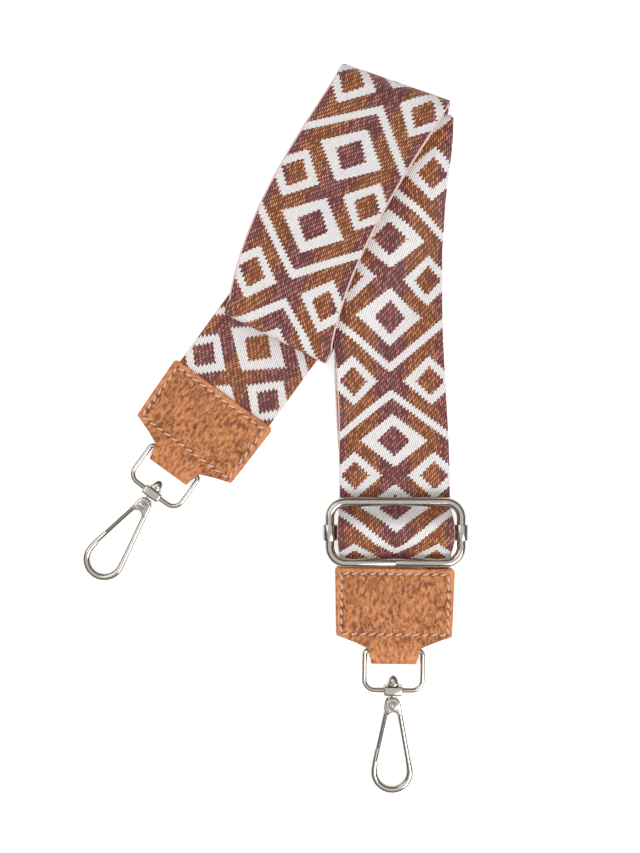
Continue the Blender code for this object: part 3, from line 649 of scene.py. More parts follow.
def strap_route():
    """All rows of the folded pair of layers, and the middle of the joining ring's near bar."""
    legs = ((RIGHT_HEADING, RIGHT_LENGTH, right_level), (HIDDEN_HEADING, HIDDEN_LENGTH, hidden_level),
            (LEFT_HEADING, LEFT_LENGTH, left_level), (LOWER_HEADING, LOWER_LENGTH, lower_level))
    folds = ((HIDDEN_LEVEL, RIGHT_LEVEL, False), (HIDDEN_LEVEL, LEFT_LEVEL, True),
             (TABLE_LEVEL, LEFT_LEVEL, False))
    lines = [flat_direction(RIGHT_HEADING + 90)]
    lines += [flat_direction((before[0] + after[0]) / 2) for before, after in zip(legs, legs[1:])]
    lines.append(flat_direction((LOWER_HEADING + TAIL_HEADING) / 2 + 90))
    rows, at, face = [], STRAP_START, 1
    for i, (heading, length, level) in enumerate(legs):
        more, at = leg(at, heading, length, face, lines[i], lines[i + 1], level)
        rows += more
        if i < len(folds):
            more, at = fold(at, heading, legs[i + 1][0], face, *folds[i])
            rows += more
            face = -face
    return rows, at


def hidden_edge():
    """A point on the right edge of the hidden stretch, where the strap on top of it starts to climb."""
    at = STRAP_START + flat_direction(RIGHT_HEADING) * RIGHT_LENGTH
    right = flat_direction(HIDDEN_HEADING).cross(UP)
    return at - right * (WEBBING_WIDTH / 2)


def right_level(point, _part):
    """The strap climbs from the table on to the stack, along the hidden stretch's edge."""
    along = flat_direction(HIDDEN_HEADING)
    inward = along.cross(UP)
    if inward.x > 0:
        inward = -inward
    ahead = (point - hidden_edge()).dot(inward)
    return TABLE_LEVEL + (RIGHT_LEVEL - TABLE_LEVEL) * smooth(1 + ahead / DRAPE)


def lower_level(_point, part):
    """The lowest stretch rises a little to the joining ring."""
    from_ring = (1 - part) * LOWER_LENGTH
    return TABLE_LEVEL + (LOOP_LEVEL - TABLE_LEVEL) * smooth(1 - from_ring / RING_RAMP)


def tab_half_width(distance):
    """Half the leather's width at a distance from its top edge."""
    if distance < TAB_CORNER:
        drop = TAB_CORNER - distance
        return TAB_HALF_WIDTH - TAB_CORNER + math.sqrt(max(TAB_CORNER ** 2 - drop ** 2, 0))
    taper = TAB_TAPER * distance / TAB_BODY
    if distance <= TAB_BODY:
        return TAB_HALF_WIDTH - taper
    body_end = TAB_HALF_WIDTH - TAB_TAPER
    neck = min((distance - TAB_BODY) / NECK_RUN, 1)
    if neck < 1:
        return NECK_HALF_WIDTH + (body_end - NECK_HALF_WIDTH) * (1 - neck) ** 1.25
    rest = (distance - TAB_BODY - NECK_RUN) / (TAB_LENGTH - TAB_BODY - NECK_RUN)
    return NECK_HALF_WIDTH + (TONGUE_HALF_WIDTH - NECK_HALF_WIDTH) * min(rest, 1)


def limb_route():
    """The middle line of the hook's limb, from the cheeks round the bend to the nose."""
    centre = Vector((0, HOOK_BEND - HOOK_REACH, 0))
    to = centre - LIMB_START
    turn = math.degrees(math.atan2(to.y, to.x)) + 180
    touch = turn - math.degrees(math.acos(HOOK_BEND / to.length))
    bend = arc(centre, HOOK_BEND, touch, -180, 22)
    run = [LIMB_START.lerp(bend[0], i / 3) for i in range(3)]
    below_lap = GATE_TIP + gate_direction() * CLEAR
    return run + bend + [bend[-1].lerp(below_lap, 0.5), below_lap, nose_tip()]


def limb_shares(points):
    """The limb's thickness at its points: thin beside the gate, and swollen round the bend."""
    return [LIMB_THIN + (LIMB_THICK - LIMB_THIN) * smooth((-point.y - SWELL_FROM) / SWELL_RUN)
            for point in points]


def gate_direction():
    return (GATE_TIP - GATE_ROOT).normalized()


def nose_tip():
    """The end of the nose, on the gate's own line."""
    along = gate_direction()
    return GATE_ROOT + along * ((-NOSE_TIP - GATE_ROOT.y) / along.y)


# Webbing

def across_stations():
    """Places across the webbing as (share of the half width, share of the half thickness)."""
    flat = WEBBING_WIDTH / 2 - EDGE_ROUND
    stations = []
    for c in range(WEBBING_COLUMNS + 1):
        stations.append((flat * (1 - 2 * c / WEBBING_COLUMNS) / (WEBBING_WIDTH / 2), 1.0))
    left, right = [], []
    for i in range(1, EDGE_STEPS + 1):
        angle = math.pi / 2 * i / EDGE_STEPS
        reach = (flat + EDGE_ROUND * math.sin(angle)) / (WEBBING_WIDTH / 2)
        left.insert(0, (reach, max(math.cos(angle), 0.0)))
        right.append((-reach, max(math.cos(angle), 0.0)))
    return left + stations + right


def surface_row(centre, side, normal, level, offset, along, part=0.0, heading=None, share=1.0):
    """One row across the webbing, as (place, normal, reach, thinness, woven coordinates) of each point."""
    points = []
    skew = side.dot(heading) if heading else 0.0
    for reach, thin in across_stations():
        point = centre + side * reach
        lean = normal
        if level:
            step = WEBBING_THICK
            here = level(point, part)
            slope_x = (level(point + Vector((step, 0, 0)), part) - here) / step
            slope_y = (level(point + Vector((0, step, 0)), part) - here) / step
            lean = (normal - Vector((slope_x, slope_y, 0)) * normal.z).normalized()
            point = Vector((point.x, point.y, here))
        woven = ((along + skew * reach) / MM, reach * share * WEBBING_WIDTH / 2 / MM)
        points.append((point + lean * offset + SHIFT, lean, reach, thin, woven))
    return points


def webbing(name, rows, body, node, material):
    """A closed band from rows, with its woven coordinates in millimetres."""
    work = bmesh.new()
    weave = work.loops.layers.uv.new("weave")
    columns = len(rows[0])
    front, rear = [], []
    for points in rows:
        top, under = [], []
        for point, lean, _, thin, _ in points:
            rise = lean * (thin * WEBBING_THICK / 2)
            top.append(work.verts.new(point + rise))
            under.append(work.verts.new(point - rise) if thin > 1e-6 else top[-1])
        front.append(top)
        rear.append(under)

    def quad(verts, corners, shift):
        face = work.faces.new(verts)
        face.smooth = True
        for loop, (r, c) in zip(face.loops, corners):
            along, reach = rows[r][c][4]
            loop[weave].uv = (along, reach + shift)

    for r in range(len(rows) - 1):
        for c in range(columns - 1):
            corners = [(r, c), (r, c + 1), (r + 1, c + 1), (r + 1, c)]
            quad([front[i][j] for i, j in corners], corners, 0)
            corners.reverse()
            quad([rear[i][j] for i, j in corners], corners, BACK_SHIFT)
    for r in (0, len(rows) - 1):
        for c in range(columns - 1):
            verts = [front[r][c], front[r][c + 1], rear[r][c + 1], rear[r][c]]
            spots = [(r, c), (r, c + 1), (r, c + 1), (r, c)]
            keep = [i for i, vert in enumerate(verts) if vert not in verts[:i]]
            if len(keep) >= 3:
                quad([verts[i] for i in keep], [spots[i] for i in keep], 0)
    bmesh.ops.recalc_face_normals(work, faces=work.faces)
    piece = add_piece(name, mesh_of(work, name), material, body)
    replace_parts(piece, node)
    middles = [points[columns // 2][0] for points in rows]
    length = sum((after - before).length for before, after in zip(middles, middles[1:]))


def bowed(rows):
    """The route's rows with the bow of the right and the left stretch, and each row's share of its width."""
    start, full, ease, end = SWAY_SPOTS
    left = [i for i, row in enumerate(rows) if row[3] is left_level]
    aside = flat_direction(LEFT_HEADING + 90)
    result = []
    for i, (centre, side, normal, level) in enumerate(rows):
        share = 1.0
        if level is right_level:
            bow = smooth((centre.y - start) / (full - start)) * (1 - smooth((centre.y - ease) / (end - ease)))
            centre = centre - Vector((RIGHT_SWAY * bow, 0, 0))
        elif i in left:
            part = (i - left[0]) / (len(left) - 1)
            centre = centre + aside * (LEFT_SWAY * math.sin(math.pi * part ** LEFT_SWAY_EARLY))
            share = LEFT_EDGE_SHARE
        result.append((centre, side, normal, level, share))
    return result


def row_headings(rows):
    """The flat direction that the strap runs in at each row; a fold keeps the one before it."""
    headings = []
    heading = flat_direction(RIGHT_HEADING)
    for before, after in zip(rows, rows[1:]):
        if before[3] and after[3]:
            step = after[0] - before[0]
            heading = Vector((step.x, step.y, 0)).normalized()
        headings.append(heading)
    return headings + [heading]


def long_webbing(material):
    """The long webbing round its whole route, and back as the under layer."""
    route, _ = strap_route()
    ring_offset = LOOP_WIRE / 2 + CLEAR + WEBBING_THICK / 2
    lower_rows = [i for i, row in enumerate(route) if row[3] is lower_level]
    marks = pattern_marks(route)
    headings = row_headings(route)
    rows = bowed(route)
    top, under = [], []
    for i, (centre, side, normal, level, share) in enumerate(rows):
        part = 0.0
        from_ring = LOWER_LENGTH
        if i in lower_rows:
            part = (i - lower_rows[0]) / (len(lower_rows) - 1)
            from_ring = (1 - part) * LOWER_LENGTH
        offset = PAIR_OFFSET + (ring_offset - PAIR_OFFSET) * smooth(1 - from_ring / RING_RAMP)
        for layer, sign in ((top, 1), (under, -1)):
            layer.append(surface_row(centre, side, normal, level, offset * sign, marks[i], part,
                                     headings[i], share))
    centre, side, normal, _, _ = rows[-1]
    out = UP.cross(side).normalized()
    if out.dot(flat_direction(LOWER_HEADING)) < 0:
        out = -out
    turn = []
    for i in range(1, FOLD_ROWS):
        angle = math.pi * i / FOLD_ROWS
        lean = normal * math.cos(angle) + out * math.sin(angle)
        middle = Vector((centre.x, centre.y, LOOP_LEVEL)) + lean * ring_offset
        turn.append(surface_row(middle, side, lean, None, 0, marks[-1] + ring_offset * angle))
    first = []
    along = flat_direction(RIGHT_HEADING)
    for part in (0, 0.2, 0.4, 0.6, 0.8):
        inside = WEBBING_IN_TAB * (1 - part)
        middle = rows[0][0] - along * inside
        middle.z = TABLE_LEVEL
        first.append(surface_row(middle, rows[0][1], rows[0][2], None, PAIR_OFFSET, marks[0] - inside))
    back = []
    for i in reversed(range(len(under))):
        if rows[i][3] is right_level and rows[i][0].y < STRAP_START.y + SLIDER_ABOVE_TAB:
            continue
        back.append([(point, -lean, reach, thin, woven) for point, lean, reach, thin, woven in under[i]])
    webbing("woven_long_webbing", first + top + turn + back, "strap", "long_webbing", material)


def pattern_marks(rows):
    """The pattern's place at each row, in metres from its large cross.

    Woven tension and the rise over the stack draw the pattern out or together along each stretch.
    """
    marks = [-CROSS_FROM_START * MM]
    hidden = [i for i, row in enumerate(rows) if row[3] is hidden_level]
    for i, (before, after) in enumerate(zip(rows, rows[1:])):
        step = after[0] - before[0]
        if before[3] or after[3]:
            step.z = 0
        length = step.length
        if i >= hidden[-1]:
            length *= LEFT_STRETCH
        elif i in hidden:
            length += HIDDEN_SKIP * MM / len(hidden)
        marks.append(marks[-1] + length)
    return [mark * LOW_STRETCH if mark < 0 else mark for mark in marks]


def short_webbing(material):
    """The short webbing from the joining ring to leather end a, and where that end begins."""
    _, near_bar = strap_route()
    ring_heading = (LOWER_HEADING + TAIL_HEADING) / 2
    far_bar = near_bar + flat_direction(ring_heading) * LOOP_PITCH
    along = flat_direction(TAIL_HEADING)
    turn_radius = LOOP_WIRE / 2 + CLEAR + WEBBING_THICK / 2
    first = across(TAIL_HEADING, flat_direction(ring_heading + 90), -1)
    last = across(TAIL_HEADING, flat_direction(TAIL_HEADING + 90), -1)
    tail_level = WEBBING_THICK / 2 + CLEAR / 3
    zero = (PATTERN_PERIOD / 2 + TAIL_CROSS) * MM - TAIL_LENGTH
    rows = []
    count = round(TAIL_BACK / ROW_STEP)
    for i in range(count + 1):
        part = 1 - i / count
        centre = far_bar + along * (TAIL_BACK * part)
        centre.z = LOOP_LEVEL - turn_radius + (tail_level - LOOP_LEVEL + turn_radius) * smooth(part)
        rows.append(surface_row(centre, first, UP, None, 0, zero - turn_radius * math.pi - TAIL_BACK * part))
    out = flat_direction(ring_heading) * -1
    for i in range(1, FOLD_ROWS):
        angle = math.pi * i / FOLD_ROWS
        centre = far_bar + out * (turn_radius * math.sin(angle))
        centre.z = LOOP_LEVEL - turn_radius * math.cos(angle)
        lean = UP * math.cos(angle) - out * math.sin(angle)
        rows.append(surface_row(centre, first, lean, None, 0, zero - turn_radius * (math.pi - angle)))
    count = round((TAIL_LENGTH + WEBBING_IN_TAB) / ROW_STEP)
    top = LOOP_LEVEL + turn_radius
    for i in range(count + 1):
        distance = (TAIL_LENGTH + WEBBING_IN_TAB) * i / count
        centre = far_bar + along * distance
        centre.z = top + (TAB_WEBBING_LEVEL - top) * smooth(distance / (RING_RAMP + TAIL_BACK))
        side = first.lerp(last, smooth(distance / TAIL_LENGTH))
        rows.append(surface_row(centre, side, -UP, None, 0, zero + distance, 0, along))
    webbing("woven_short_webbing", rows, "strap", "short_webbing", material)
    return far_bar + along * TAIL_LENGTH


def section_rows(section, along_start, half_width, direction=1):
    """Rows of a band that lies square across the slider, from its (y, z) section."""
    centre = STRAP_START + Vector((0, SLIDER_ABOVE_TAB, SLIDER_LEVEL))
    rows = []
    mark = along_start
    for i, (y, z) in enumerate(section):
        before = section[max(i - 1, 0)]
        after = section[min(i + 1, len(section) - 1)]
        tangent = Vector((0, after[0] - before[0], after[1] - before[1])).normalized()
        lean = Vector((1, 0, 0)).cross(tangent) * direction
        if i:
            mark += math.dist(section[i - 1], section[i])
        middle = centre + Vector((0, y, z))
        half = half_width(y)
        rows.append(surface_row(middle, Vector((-half, 0, 0)), lean, None, 0, mark))
    return rows


def loop_section():
    """The middle line of webbing wrapped round the bar, in the YZ plane."""
    radius = BAR_THICK / 2 + CLEAR + WEBBING_THICK / 2
    flat = BAR_WIDTH / 2 - BAR_EDGE
    sewn = WEBBING_THICK + CLEAR - radius
    points = [(flat + END_TAIL, -radius), (flat, -radius), (-flat, -radius)]
    for i in range(1, 8):
        angle = math.radians(270 - 180 * i / 8)
        points.append((-flat + radius * math.cos(angle), radius * math.sin(angle)))
    points += [(-flat, radius), (flat, radius)]
    points += [(flat + END_TAIL * along, radius * up) for along, up in END_EASE]
    return points + [(flat + END_TAIL, sewn)]


def slider_webbing(material):
    """The webbing over the slider's bar, and the long webbing's end sewn round it."""
    reach = SLIDER_OUTER_LENGTH / 2 - BIGHT_INSET
    low = STRAP_TOP + CLEAR + WEBBING_THICK / 2 - SLIDER_LEVEL
    high = BAR_THICK / 2 + 2 * CLEAR + WEBBING_THICK * 1.5
    foot = reach - BIGHT_FLAT - BIGHT_FOOT_INSET
    section = [(-reach, low)]
    for i in range(BIGHT_STEPS + 1):
        y = -foot + 2 * foot * i / BIGHT_STEPS
        section.append((y, low + (high - low) * smooth((foot - abs(y)) / (foot - BAR_WIDTH * 0.42))))
    section.append((reach, low))

    def spread(y):
        return WEBBING_WIDTH / 2 + (BIGHT_HALF_WIDTH - WEBBING_WIDTH / 2) * smooth((reach - abs(y)) / reach)

    rows = section_rows(section, BIGHT_START * MM, spread)
    webbing("woven_webbing_over_bar", rows, "slider_bar", "webbing_bight", material)
    rows = section_rows(loop_section(), 0.0, lambda _y: WEBBING_WIDTH / 2, -1)
    webbing("woven_webbing_end", rows, "slider_bar", "webbing_end_loop", material)


# Leather ends

def leather_end(tag, base, material, thread):
    """Leather folded round the hook's ring: pebbled outside, pressed along its seam, with round cut edges."""
    upper = TAB_WEBBING_LEVEL + WEBBING_THICK / 2 + CLEAR + LEATHER_THICK / 2
    pocket = RING_LEVEL + POCKET_GAP / 2 + LEATHER_THICK / 2
    lower = TAB_WEBBING_LEVEL - WEBBING_THICK / 2 - CLEAR - LEATHER_THICK / 2
    fold_radius = (pocket - lower) / 2
    straight = TAB_LENGTH - fold_radius
    corner = [TAB_CORNER * (1 - math.cos(math.radians(a))) for a in range(0, 90, 10)]
    count = round((straight - TAB_CORNER) / LEATHER_STEP)
    distances = corner + [TAB_CORNER + (straight - TAB_CORNER) * i / count for i in range(count + 1)]
    stations = []
    for distance in distances:
        rise = smooth((distance - TAB_BODY) / NECK_RUN)
        stations.append((distance, upper + (pocket - upper) * rise, distance, 0.0))
    for i in range(1, LEATHER_FOLD_ROWS):
        angle = math.pi * i / LEATHER_FOLD_ROWS
        stations.append((straight + fold_radius * math.sin(angle),
                         (pocket + lower) / 2 + fold_radius * math.cos(angle), TAB_LENGTH, angle))
    for distance in reversed(distances):
        stations.append((distance, lower, distance, math.pi))
    work = bmesh.new()
    grain_map = work.loops.layers.uv.new("grain")
    outer, inner = [], []
    length, area = 0.0, 0.0
    for i, (distance, height, width_at, angle) in enumerate(stations):
        half = tab_half_width(width_at)
        if i:
            advance = math.dist((distance, height), stations[i - 1][:2])
            length += advance
            area += advance * 2 * half
        normal = Vector((0, -math.sin(angle), math.cos(angle)))
        row_out, row_in = [], []
        for c in range(-LEATHER_HALF_COLUMNS, LEATHER_HALF_COLUMNS + 1):
            x = half * (c / LEATHER_HALF_COLUMNS)
            from_side = half - abs(x)
            from_end = distance if angle in (0.0, math.pi) else TAB_LENGTH
            edge = min(from_side, from_end)
            rounding = math.sqrt(max(0.0, 1 - max(0.0, 1 - edge / CUT_ROUND) ** 2))
            half_thick = LEATHER_THICK / 2 * (CUT_THIN + (1 - CUT_THIN) * rounding)
            seam = seam_distance(x, distance)
            press = SEAM_DEPTH * math.exp(-(seam / SEAM_SPREAD) ** 2)
            crown = CROWN * smooth(seam / CROWN_RUN) if distance < TAB_BODY else 0.0
            grain = pebble_height(x, distance, angle > 1.5) if rounding > 0.9 else 0.0
            lift = half_thick - press + crown * rounding + grain
            if angle == math.pi:
                lift = min(lift, LEATHER_THICK / 2)
            middle = Vector((x, -distance, height))
            row_out.append(work.verts.new(middle + normal * lift))
            row_in.append(work.verts.new(middle - normal * half_thick))
        outer.append(row_out)
        inner.append(row_in)
    columns = len(outer[0])
    for r in range(len(outer) - 1):
        for c in range(columns - 1):
            work.faces.new((outer[r][c], outer[r][c + 1], outer[r + 1][c + 1], outer[r + 1][c]))
            work.faces.new((inner[r][c], inner[r + 1][c], inner[r + 1][c + 1], inner[r][c + 1]))
        for c in (0, columns - 1):
            work.faces.new((outer[r][c], outer[r + 1][c], inner[r + 1][c], inner[r][c]))
    for r in (0, len(outer) - 1):
        for c in range(columns - 1):
            work.faces.new((outer[r][c], outer[r][c + 1], inner[r][c + 1], inner[r][c]))
    bmesh.ops.recalc_face_normals(work, faces=work.faces)
    for face in work.faces:
        for loop in face.loops:
            spot = loop.vert.co
            loop[grain_map].uv = (spot.x / MM + (BACK_SHIFT if face.normal.z < 0 else 0), -spot.y / MM)
    mesh = mesh_of(work, f"leather_{tag}")
    mesh.transform(base)
    mesh.shade_smooth()
    piece = add_piece(f"pebbled_leather_end_{tag}", mesh, material, "strap")
    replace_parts(piece, f"leather_end_{tag}")
    sewing = stitches(tag, base, thread)
    2 * tab_half_width(TAB_LENGTH / 2)


def seam_distance(x, distance):
    """How far a point of the leather lies from the rectangle of stitches."""
    if distance > TAB_LENGTH - 2 * MM:
        return 1.0
    dx = abs(abs(x) - SEAM_SIDE)
    if distance < SEAM_TOP:
        side = math.hypot(dx, SEAM_TOP - distance)
    elif distance > SEAM_BOTTOM:
        side = math.hypot(dx, distance - SEAM_BOTTOM)
    else:
        side = dx
    past = max(0.0, abs(x) - SEAM_SIDE)
    ends = min(math.hypot(past, distance - SEAM_TOP), math.hypot(past, distance - SEAM_BOTTOM))
    return min(side, ends)


def pebble_height(x, distance, is_under):
    """The raised grain of the leather."""
    spot = Vector((x * CELLS_ACROSS, distance * CELLS_ALONG, 40.0 if is_under else 0.0))
    spot += noise.noise_vector(spot * 0.45) * 0.7
    near = noise.voronoi(spot)[0]
    ridge = near[1] - near[0]
    broad = noise.noise(spot * 0.2)
    is_full = seam_distance(x, distance) > 0 and abs(x) < SEAM_SIDE and distance < SEAM_BOTTOM + 3 * MM
    height = CELL_RISE * min(ridge * 2.2, 1.0) + BROAD_RISE * broad - BROAD_RISE
    return height * (1.0 if is_full else FAINT_GRAIN)


def stitches(tag, base, material):
    """The stitched rectangle on the outer face of a leather end, as separate stitches of thread."""
    upper = TAB_WEBBING_LEVEL + WEBBING_THICK / 2 + CLEAR + LEATHER_THICK
    corners = [(-SEAM_SIDE, -SEAM_TOP), (SEAM_SIDE, -SEAM_TOP), (SEAM_SIDE, -SEAM_BOTTOM),
               (-SEAM_SIDE, -SEAM_BOTTOM)]
    work = bmesh.new()
    for k in range(4):
        start, end = Vector((*corners[k], 0)), Vector((*corners[(k + 1) % 4], 0))
        count = round((end - start).length / STITCH_PITCH)
        direction = (end - start).normalized()
        for i in range(count):
            middle = start.lerp(end, (i + 0.5) / count)
            add_stitch(work, middle + UP * (upper - STITCH_BEDDED), direction, (end - start).length / count)
    mesh = mesh_of(work, f"stitches_{tag}")
    mesh.transform(base)
    mesh.shade_smooth()
    return add_piece(f"stitching_{tag}", mesh, material, "strap")


def add_stitch(work, middle, direction, pitch):
    """One stitch: a thread that rises out of its hole, lies along the seam and dives back in."""
    half = pitch * STITCH_SHARE
    side = UP.cross(direction)
    rings = []
    around = 8
    for i in range(STITCH_STEPS + 1):
        t = -1 + 2 * i / STITCH_STEPS
        sink = STITCH_SINK * abs(t) ** 4
        swell = STITCH_RADIUS * (1 - 0.35 * abs(t) ** 3)
        centre = middle + direction * (half * t) - UP * sink + side * (STITCH_SLANT * t)
        ring = []
        for k in range(around):
            angle = math.tau * k / around
            out = side * (swell * math.cos(angle)) + UP * (swell * math.sin(angle))
            ring.append(work.verts.new(centre + out))
        rings.append(ring)
    for before, after in zip(rings, rings[1:]):
        for k in range(around):
            work.faces.new((before[k], before[(k + 1) % around], after[(k + 1) % around], after[k]))
    work.faces.new(rings[0][::-1])
    work.faces.new(rings[-1])


# Metal pieces, made on a work mesh and joined by Booleans

def wire_mesh(points, radius, cyclic=False, resolution=8, shares=()):
    """A round wire along points, as a closed mesh; shares thin or thicken it at each point."""
    curve = bpy.data.curves.new("wire", "CURVE")
    curve.dimensions = "3D"
    curve.bevel_depth = radius
    curve.bevel_resolution = resolution
    curve.use_fill_caps = True
    spline = curve.splines.new("POLY")
    spline.points.add(len(points) - 1)
    for target, point in zip(spline.points, points):
        target.co = (*point, 1)
    for target, share in zip(spline.points, shares):
        target.radius = share
    spline.use_cyclic_u = cyclic
    mesh = evaluated(placed("wire", curve))
    work = bmesh.new()
    work.from_mesh(mesh)
    bmesh.ops.remove_doubles(work, verts=work.verts, dist=1e-6)
    bmesh.ops.recalc_face_normals(work, faces=work.faces)
    work.to_mesh(mesh)
    work.free()
    return mesh


def cylinder_mesh(radius, length, axis, centre):
    work = bmesh.new()
    turn = Vector(axis).to_track_quat("Z", "Y").to_matrix().to_4x4()
    bmesh.ops.create_cone(work, cap_ends=True, segments=TURN_SEGMENTS, radius1=radius, radius2=radius,
                          depth=length, matrix=Matrix.Translation(centre) @ turn)
    return mesh_of(work, "cylinder")


def block_mesh(size, centre, bevel=0.0):
    work = bmesh.new()
    bmesh.ops.create_cube(work, size=1, matrix=Matrix.Translation(centre) @ Matrix.Diagonal((*size, 1)))
    if bevel:
        bmesh.ops.bevel(work, geom=work.edges[:], offset=bevel, segments=4, profile=0.5, affect="EDGES")
    return mesh_of(work, "block")


def plate_mesh(outline, thickness, level=0.0, bevel=0.0):
    work = bmesh.new()
    verts = [work.verts.new((p[0], p[1], level - thickness / 2)) for p in outline]
    face = work.faces.new(verts)
    raised = bmesh.ops.extrude_face_region(work, geom=[face])
    moved = [item for item in raised["geom"] if isinstance(item, bmesh.types.BMVert)]
    bmesh.ops.translate(work, verts=moved, vec=(0, 0, thickness))
    bmesh.ops.recalc_face_normals(work, faces=work.faces)
    if bevel:
        rim = [edge for edge in work.edges if abs(edge.verts[0].co.z - edge.verts[1].co.z) < 1e-7]
        bmesh.ops.bevel(work, geom=rim, offset=bevel, segments=3, profile=0.5, affect="EDGES")
    return mesh_of(work, "plate")


def turned_mesh(profile):
    work = bmesh.new()
    verts = [work.verts.new((radius, height, 0)) for radius, height in profile]
    edges = [work.edges.new(pair) for pair in zip(verts, verts[1:])]
    bmesh.ops.spin(work, geom=verts + edges, cent=(0, 0, 0), axis=(0, 1, 0), dvec=(0, 0, 0),
                   angle=math.tau, steps=TURN_SEGMENTS, use_merge=True)
    bmesh.ops.remove_doubles(work, verts=work.verts, dist=1e-6)
    bmesh.ops.recalc_face_normals(work, faces=work.faces)
    return mesh_of(work, "turned")


def combined(mesh, cuts):
    """A mesh after Booleans with others, each given as (operation, mesh)."""
    base = placed("base", mesh)
    helpers = []
    for operation, other in cuts:
        helpers.append(placed("helper", other))
        step = base.modifiers.new(operation, "BOOLEAN")
        step.operation = operation
        step.solver = "EXACT"
        step.object = helpers[-1]
    result = evaluated(base)
    for helper in helpers:
        bpy.data.objects.remove(helper)
    return result


def softened(mesh, width):
    """A mesh with its sharp edges rounded a little."""
    base = placed("base", mesh)
    rim = base.modifiers.new("Edges", "BEVEL")
    rim.width = width
    rim.segments = 2
    rim.limit_method = "ANGLE"
    rim.angle_limit = math.radians(40)
    return evaluated(base)


def metal_piece(name, mesh, placing, material, body, node):
    mesh.transform(placing)
    mesh.shade_smooth()
    mesh.set_sharp_from_angle(angle=math.radians(38))
    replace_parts(add_piece(name, mesh, material, body), node)


def hook_ring(tag, placing, metal):
    half = RING_OUTER_WIDTH / 2 - RING_WIRE / 2
    loop = rounded_loop(half, 0, -RING_PITCH, RING_TOP_CORNER, RING_CORNER, 14)
    boss = block_mesh((BOSS_WIDTH, BOSS_LENGTH, BOSS_THICK), (0, -RING_PITCH, 0), bevel=BOSS_EDGE)
    bore = cylinder_mesh(STEM_RADIUS + SWIVEL_CLEAR, BOSS_LENGTH * 2, (0, 1, 0), (0, -RING_PITCH, 0))
    mesh = combined(wire_mesh(loop, RING_WIRE / 2, True), [("UNION", boss), ("DIFFERENCE", bore)])
    metal_piece(f"swivel_ring_{tag}", mesh, placing, metal, f"hook_ring_{tag}", f"hook_ring_{tag}")


def hook_body(tag, placing, metal):
    points = fine_limb()
    limb = wire_mesh(points, HOOK_WIRE / 2, shares=limb_shares(points), resolution=10)
    outline = arc((0, CHEEK_TOP_RISE), CHEEK_TOP_RADIUS, 170, 10, 30)
    outline += [Vector((x * MM, y * MM, 0)) for x, y in rounded_foot()]
    cheeks = plate_mesh(outline, CHEEKS_THICK, bevel=CHEEK_EDGE)
    reach = GATE_EYE_RADIUS + 2 * CLEAR
    slot = arc((0, 0), reach, 90, -60, 24)
    low = GATE_TIP.y / 2
    slot += [Vector((slot[-1].x, low, 0)), Vector((low, low, 0)), Vector((low, reach, 0))]
    cuts = [("UNION", cheeks), ("UNION", turned_mesh(stem_profile())),
            ("DIFFERENCE", plate_mesh(slot, GATE_SLOT)), ("DIFFERENCE", lap_cut(1)),
            ("DIFFERENCE", rivet_bore(CHEEKS_THICK * 2))]
    mesh = softened(combined(limb, cuts), HOOK_SOFT)
    metal_piece(f"snap_hook_{tag}", mesh, placing, metal, f"hook_body_{tag}", f"hook_body_{tag}")


def rivet_bore(length):
    return cylinder_mesh(RIVET_RADIUS + SWIVEL_CLEAR, length, (0, 0, 1), (0, 0, 0))


def rounded_foot():
    """The cheeks' lower outline, with its corners rounded by cutting them twice."""
    points = list(CHEEK_FOOT)
    for _ in range(2):
        softer = [points[0]]
        for (ax, ay), (bx, by) in zip(points, points[1:]):
            softer += [(ax * 0.75 + bx * 0.25, ay * 0.75 + by * 0.25),
                       (ax * 0.25 + bx * 0.75, ay * 0.25 + by * 0.75)]
        points = softer + [points[-1]]
    return points


def stem_profile():
    """The swivel's dome, collar and stem, down into the cheeks, as (radius, height) pairs."""
    seat = RIVET_BELOW_BAR + BOSS_LENGTH / 2 + CLEAR
    dome = HEAD_HEIGHT - COLLAR_HEIGHT
    profile = [(0, seat + HEAD_HEIGHT)]
    for angle in range(84, -1, -7):
        turn = math.radians(angle)
        profile.append((DOME_RADIUS * math.cos(turn), seat + COLLAR_HEIGHT + dome * math.sin(turn)))
    round_off = 0.2 * MM
    return profile + [(HEAD_RADIUS - round_off, seat + COLLAR_HEIGHT),
                      (HEAD_RADIUS, seat + COLLAR_HEIGHT - round_off), (HEAD_RADIUS, seat + round_off),
                      (HEAD_RADIUS - round_off, seat), (STEM_RADIUS, seat), (STEM_RADIUS, STEM_FOOT),
                      (0, STEM_FOOT)]


def lap_cut(side):
    """A block that cuts one half of the lap: 1 for the nose, -1 for the gate."""
    along = gate_direction()
    inward = UP.cross(along)
    start = nose_tip() - along * (HOOK_WIRE if side > 0 else CLEAR)
    end = GATE_TIP + along * (CLEAR if side > 0 else HOOK_WIRE)
    middle = (start + end) / 2 + inward * (side * (HOOK_WIRE - CLEAR) / 2)
    mesh = block_mesh((HOOK_WIRE, (end - start).length, HOOK_WIRE * 2), (0, 0, 0))
    turn = Matrix.Rotation(math.atan2(along.x, -along.y), 4, "Z")
    mesh.transform(Matrix.Translation(middle) @ turn)
    return mesh


def fine_limb():
    """The limb's middle line with more points along it."""
    coarse = limb_route()
    fine = []
    for before, after in zip(coarse, coarse[1:]):
        fine += [before.lerp(after, i / 3) for i in range(3)]
    fine.append(coarse[-1])
    for _ in range(4):
        fine = [fine[0]] + [(a + b * 2 + c) / 4 for a, b, c in zip(fine, fine[1:], fine[2:])] + [fine[-1]]
    return fine


